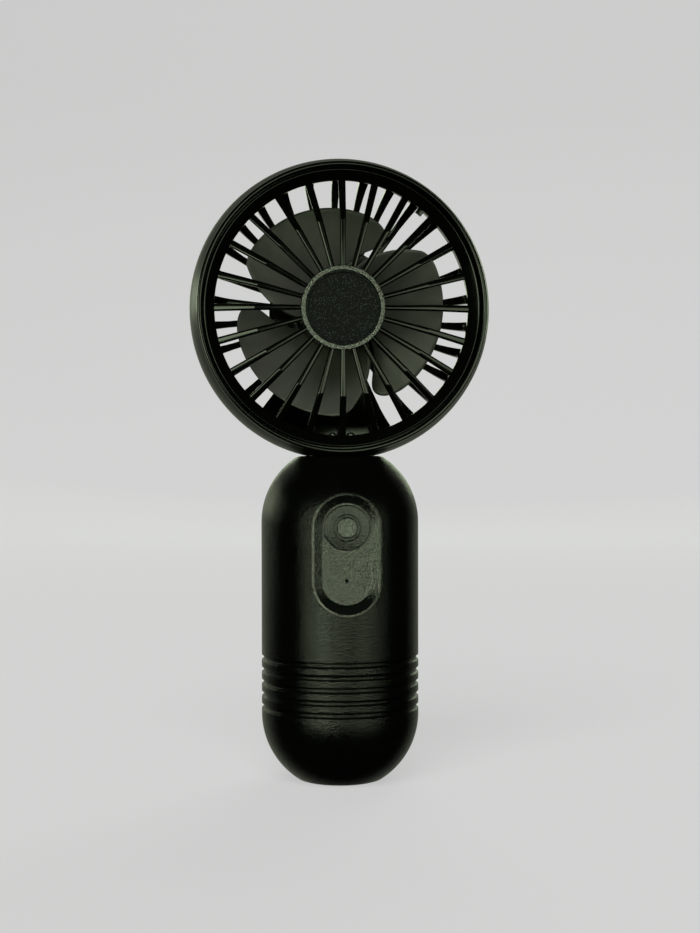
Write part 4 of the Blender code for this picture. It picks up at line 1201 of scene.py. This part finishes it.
studio = {
    "backdrop": "#cccccc", "glow": 0.83, "flatR": 1.1, "curveR": 0.5, "wallTop": 2.6,
    "tint": "#ecffd7", "left": 2.9, "right": 1.6, "side": 0.9, "back": 1.0, "fill": 2.0,
    "aim": (2.85, 0, 86.1), "distance": 469, "azimuth": 6.0, "elevation": 1.0, "roll": -0.1, "lens": 65.6,
}


def makeFloor():
    # plain pale sweep: flat under the fan and curved up all round it. It glows evenly, and stays
    # out of the reflections, so the black mouldings mirror only the lamps
    made, tree, shader = newMaterial("paintedSweep", {"Roughness": 0.95, "Base Color": linear("#7c7c7c")})
    shader.inputs["Specular IOR Level"].default_value = 0.0
    shader.inputs["Emission Color"].default_value = linear(studio["backdrop"])
    shader.inputs["Emission Strength"].default_value = studio["glow"]
    outline = [(0, 0), (200, 0), (studio["flatR"] / mm, 0)]
    for i in range(1, 17):
        turn = math.radians(90 * i / 16)
        outline.append((
            (studio["flatR"] + studio["curveR"] * math.sin(turn)) / mm,
            studio["curveR"] * (1 - math.cos(turn)) / mm,
        ))
    outline.append((outline[-1][0], studio["wallTop"] / mm))
    floor = turned("studioFloor", outline, made, 96, Vector((0, 0, 0)), "Z")
    floor.data.flip_normals()
    for ray in ("visible_glossy", "visible_diffuse", "visible_shadow"):
        setattr(floor, ray, False)


def makeLight(name, kind, spot, size, power, tint, seen=("glossy", "diffuse")):
    data = bpy.data.lights.new(name, kind)
    if kind == "AREA":
        data.shape = "RECTANGLE"
        data.size, data.size_y = size
    else:
        data.angle = math.radians(size)
    data.energy = power
    data.color = linear(tint)[:3]
    lamp = newObject(name, data)
    lamp.location = spot
    lamp.rotation_euler = (Vector((0, 0, 0.08)) - Vector(spot)).to_track_quat("-Z", "Y").to_euler()
    lamp.visible_camera = False
    lamp.visible_glossy = "glossy" in seen
    lamp.visible_diffuse = "diffuse" in seen


def makeLights():
    # the room is dark in front and pale behind, so grazing edges pick up a soft rim
    world = bpy.data.worlds.new("softRoom")
    bpy.context.scene.world = world
    world.use_nodes = True
    tree = world.node_tree
    direction = addNode(tree, "ShaderNodeTexCoord").outputs["Generated"]
    depth = addNode(tree, "ShaderNodeSeparateXYZ", None, {"Vector": direction}).outputs["Y"]
    share = varied(tree, depth, 0, 1, 0.55, 1.0)
    colour = mixed(tree, share, linear("#0d0e0b"), linear("#9a9f8e"))
    tree.links.new(colour, tree.nodes["Background"].inputs["Color"])
    # two low windows in front, a dark gap between them, give the grip its upright band of light
    lampTint = studio["tint"]
    makeLight("windowLeft", "AREA", (-0.56, -1.0, 0.10), (0.78, 0.34), studio["left"], lampTint)
    makeLight("windowRight", "AREA", (0.485, -1.0, 0.10), (0.89, 0.34), studio["right"], lampTint)
    makeLight("sideGlow", "AREA", (-0.95, 0.95, 0.30), (0.9, 0.2), studio["side"], lampTint)
    makeLight("backStrip", "AREA", (0.2, 1.2, 0.30), (0.9, 0.3), studio["back"], lampTint)
    makeLight("fill", "SUN", (-0.3, -1.0, 1.1), 40, studio["fill"], "#ffffff", ("diffuse",))
    makeLight("backFill", "SUN", (0.4, 1.0, 1.0), 40, studio["fill"] * 0.5, "#ffffff", ("diffuse",))


def makeCamera():
    turn, lift, roll = (math.radians(studio[key]) for key in ("azimuth", "elevation", "roll"))
    back = Vector((-math.sin(turn) * math.cos(lift), -math.cos(turn) * math.cos(lift), math.sin(lift)))
    right = Vector((math.cos(turn), -math.sin(turn), 0))
    up = back.cross(right)
    tiltedRight = right * math.cos(roll) + up * math.sin(roll)
    tiltedUp = up * math.cos(roll) - right * math.sin(roll)
    data = bpy.data.cameras.new("camera")
    data.sensor_width = 36
    data.lens = studio["lens"]
    data.clip_start = 0.01
    camera = newObject("camera", data)
    turnMatrix = Matrix((tiltedRight, tiltedUp, back)).transposed().to_4x4()
    spot = (Vector(studio["aim"]) + back * studio["distance"]) * mm
    camera.matrix_world = Matrix.Translation(spot) @ turnMatrix
    bpy.context.scene.camera = camera


makeFloor()
makeLights()
makeCamera()
bpy.context.scene.view_settings.view_transform = "Standard"
print("studio made")
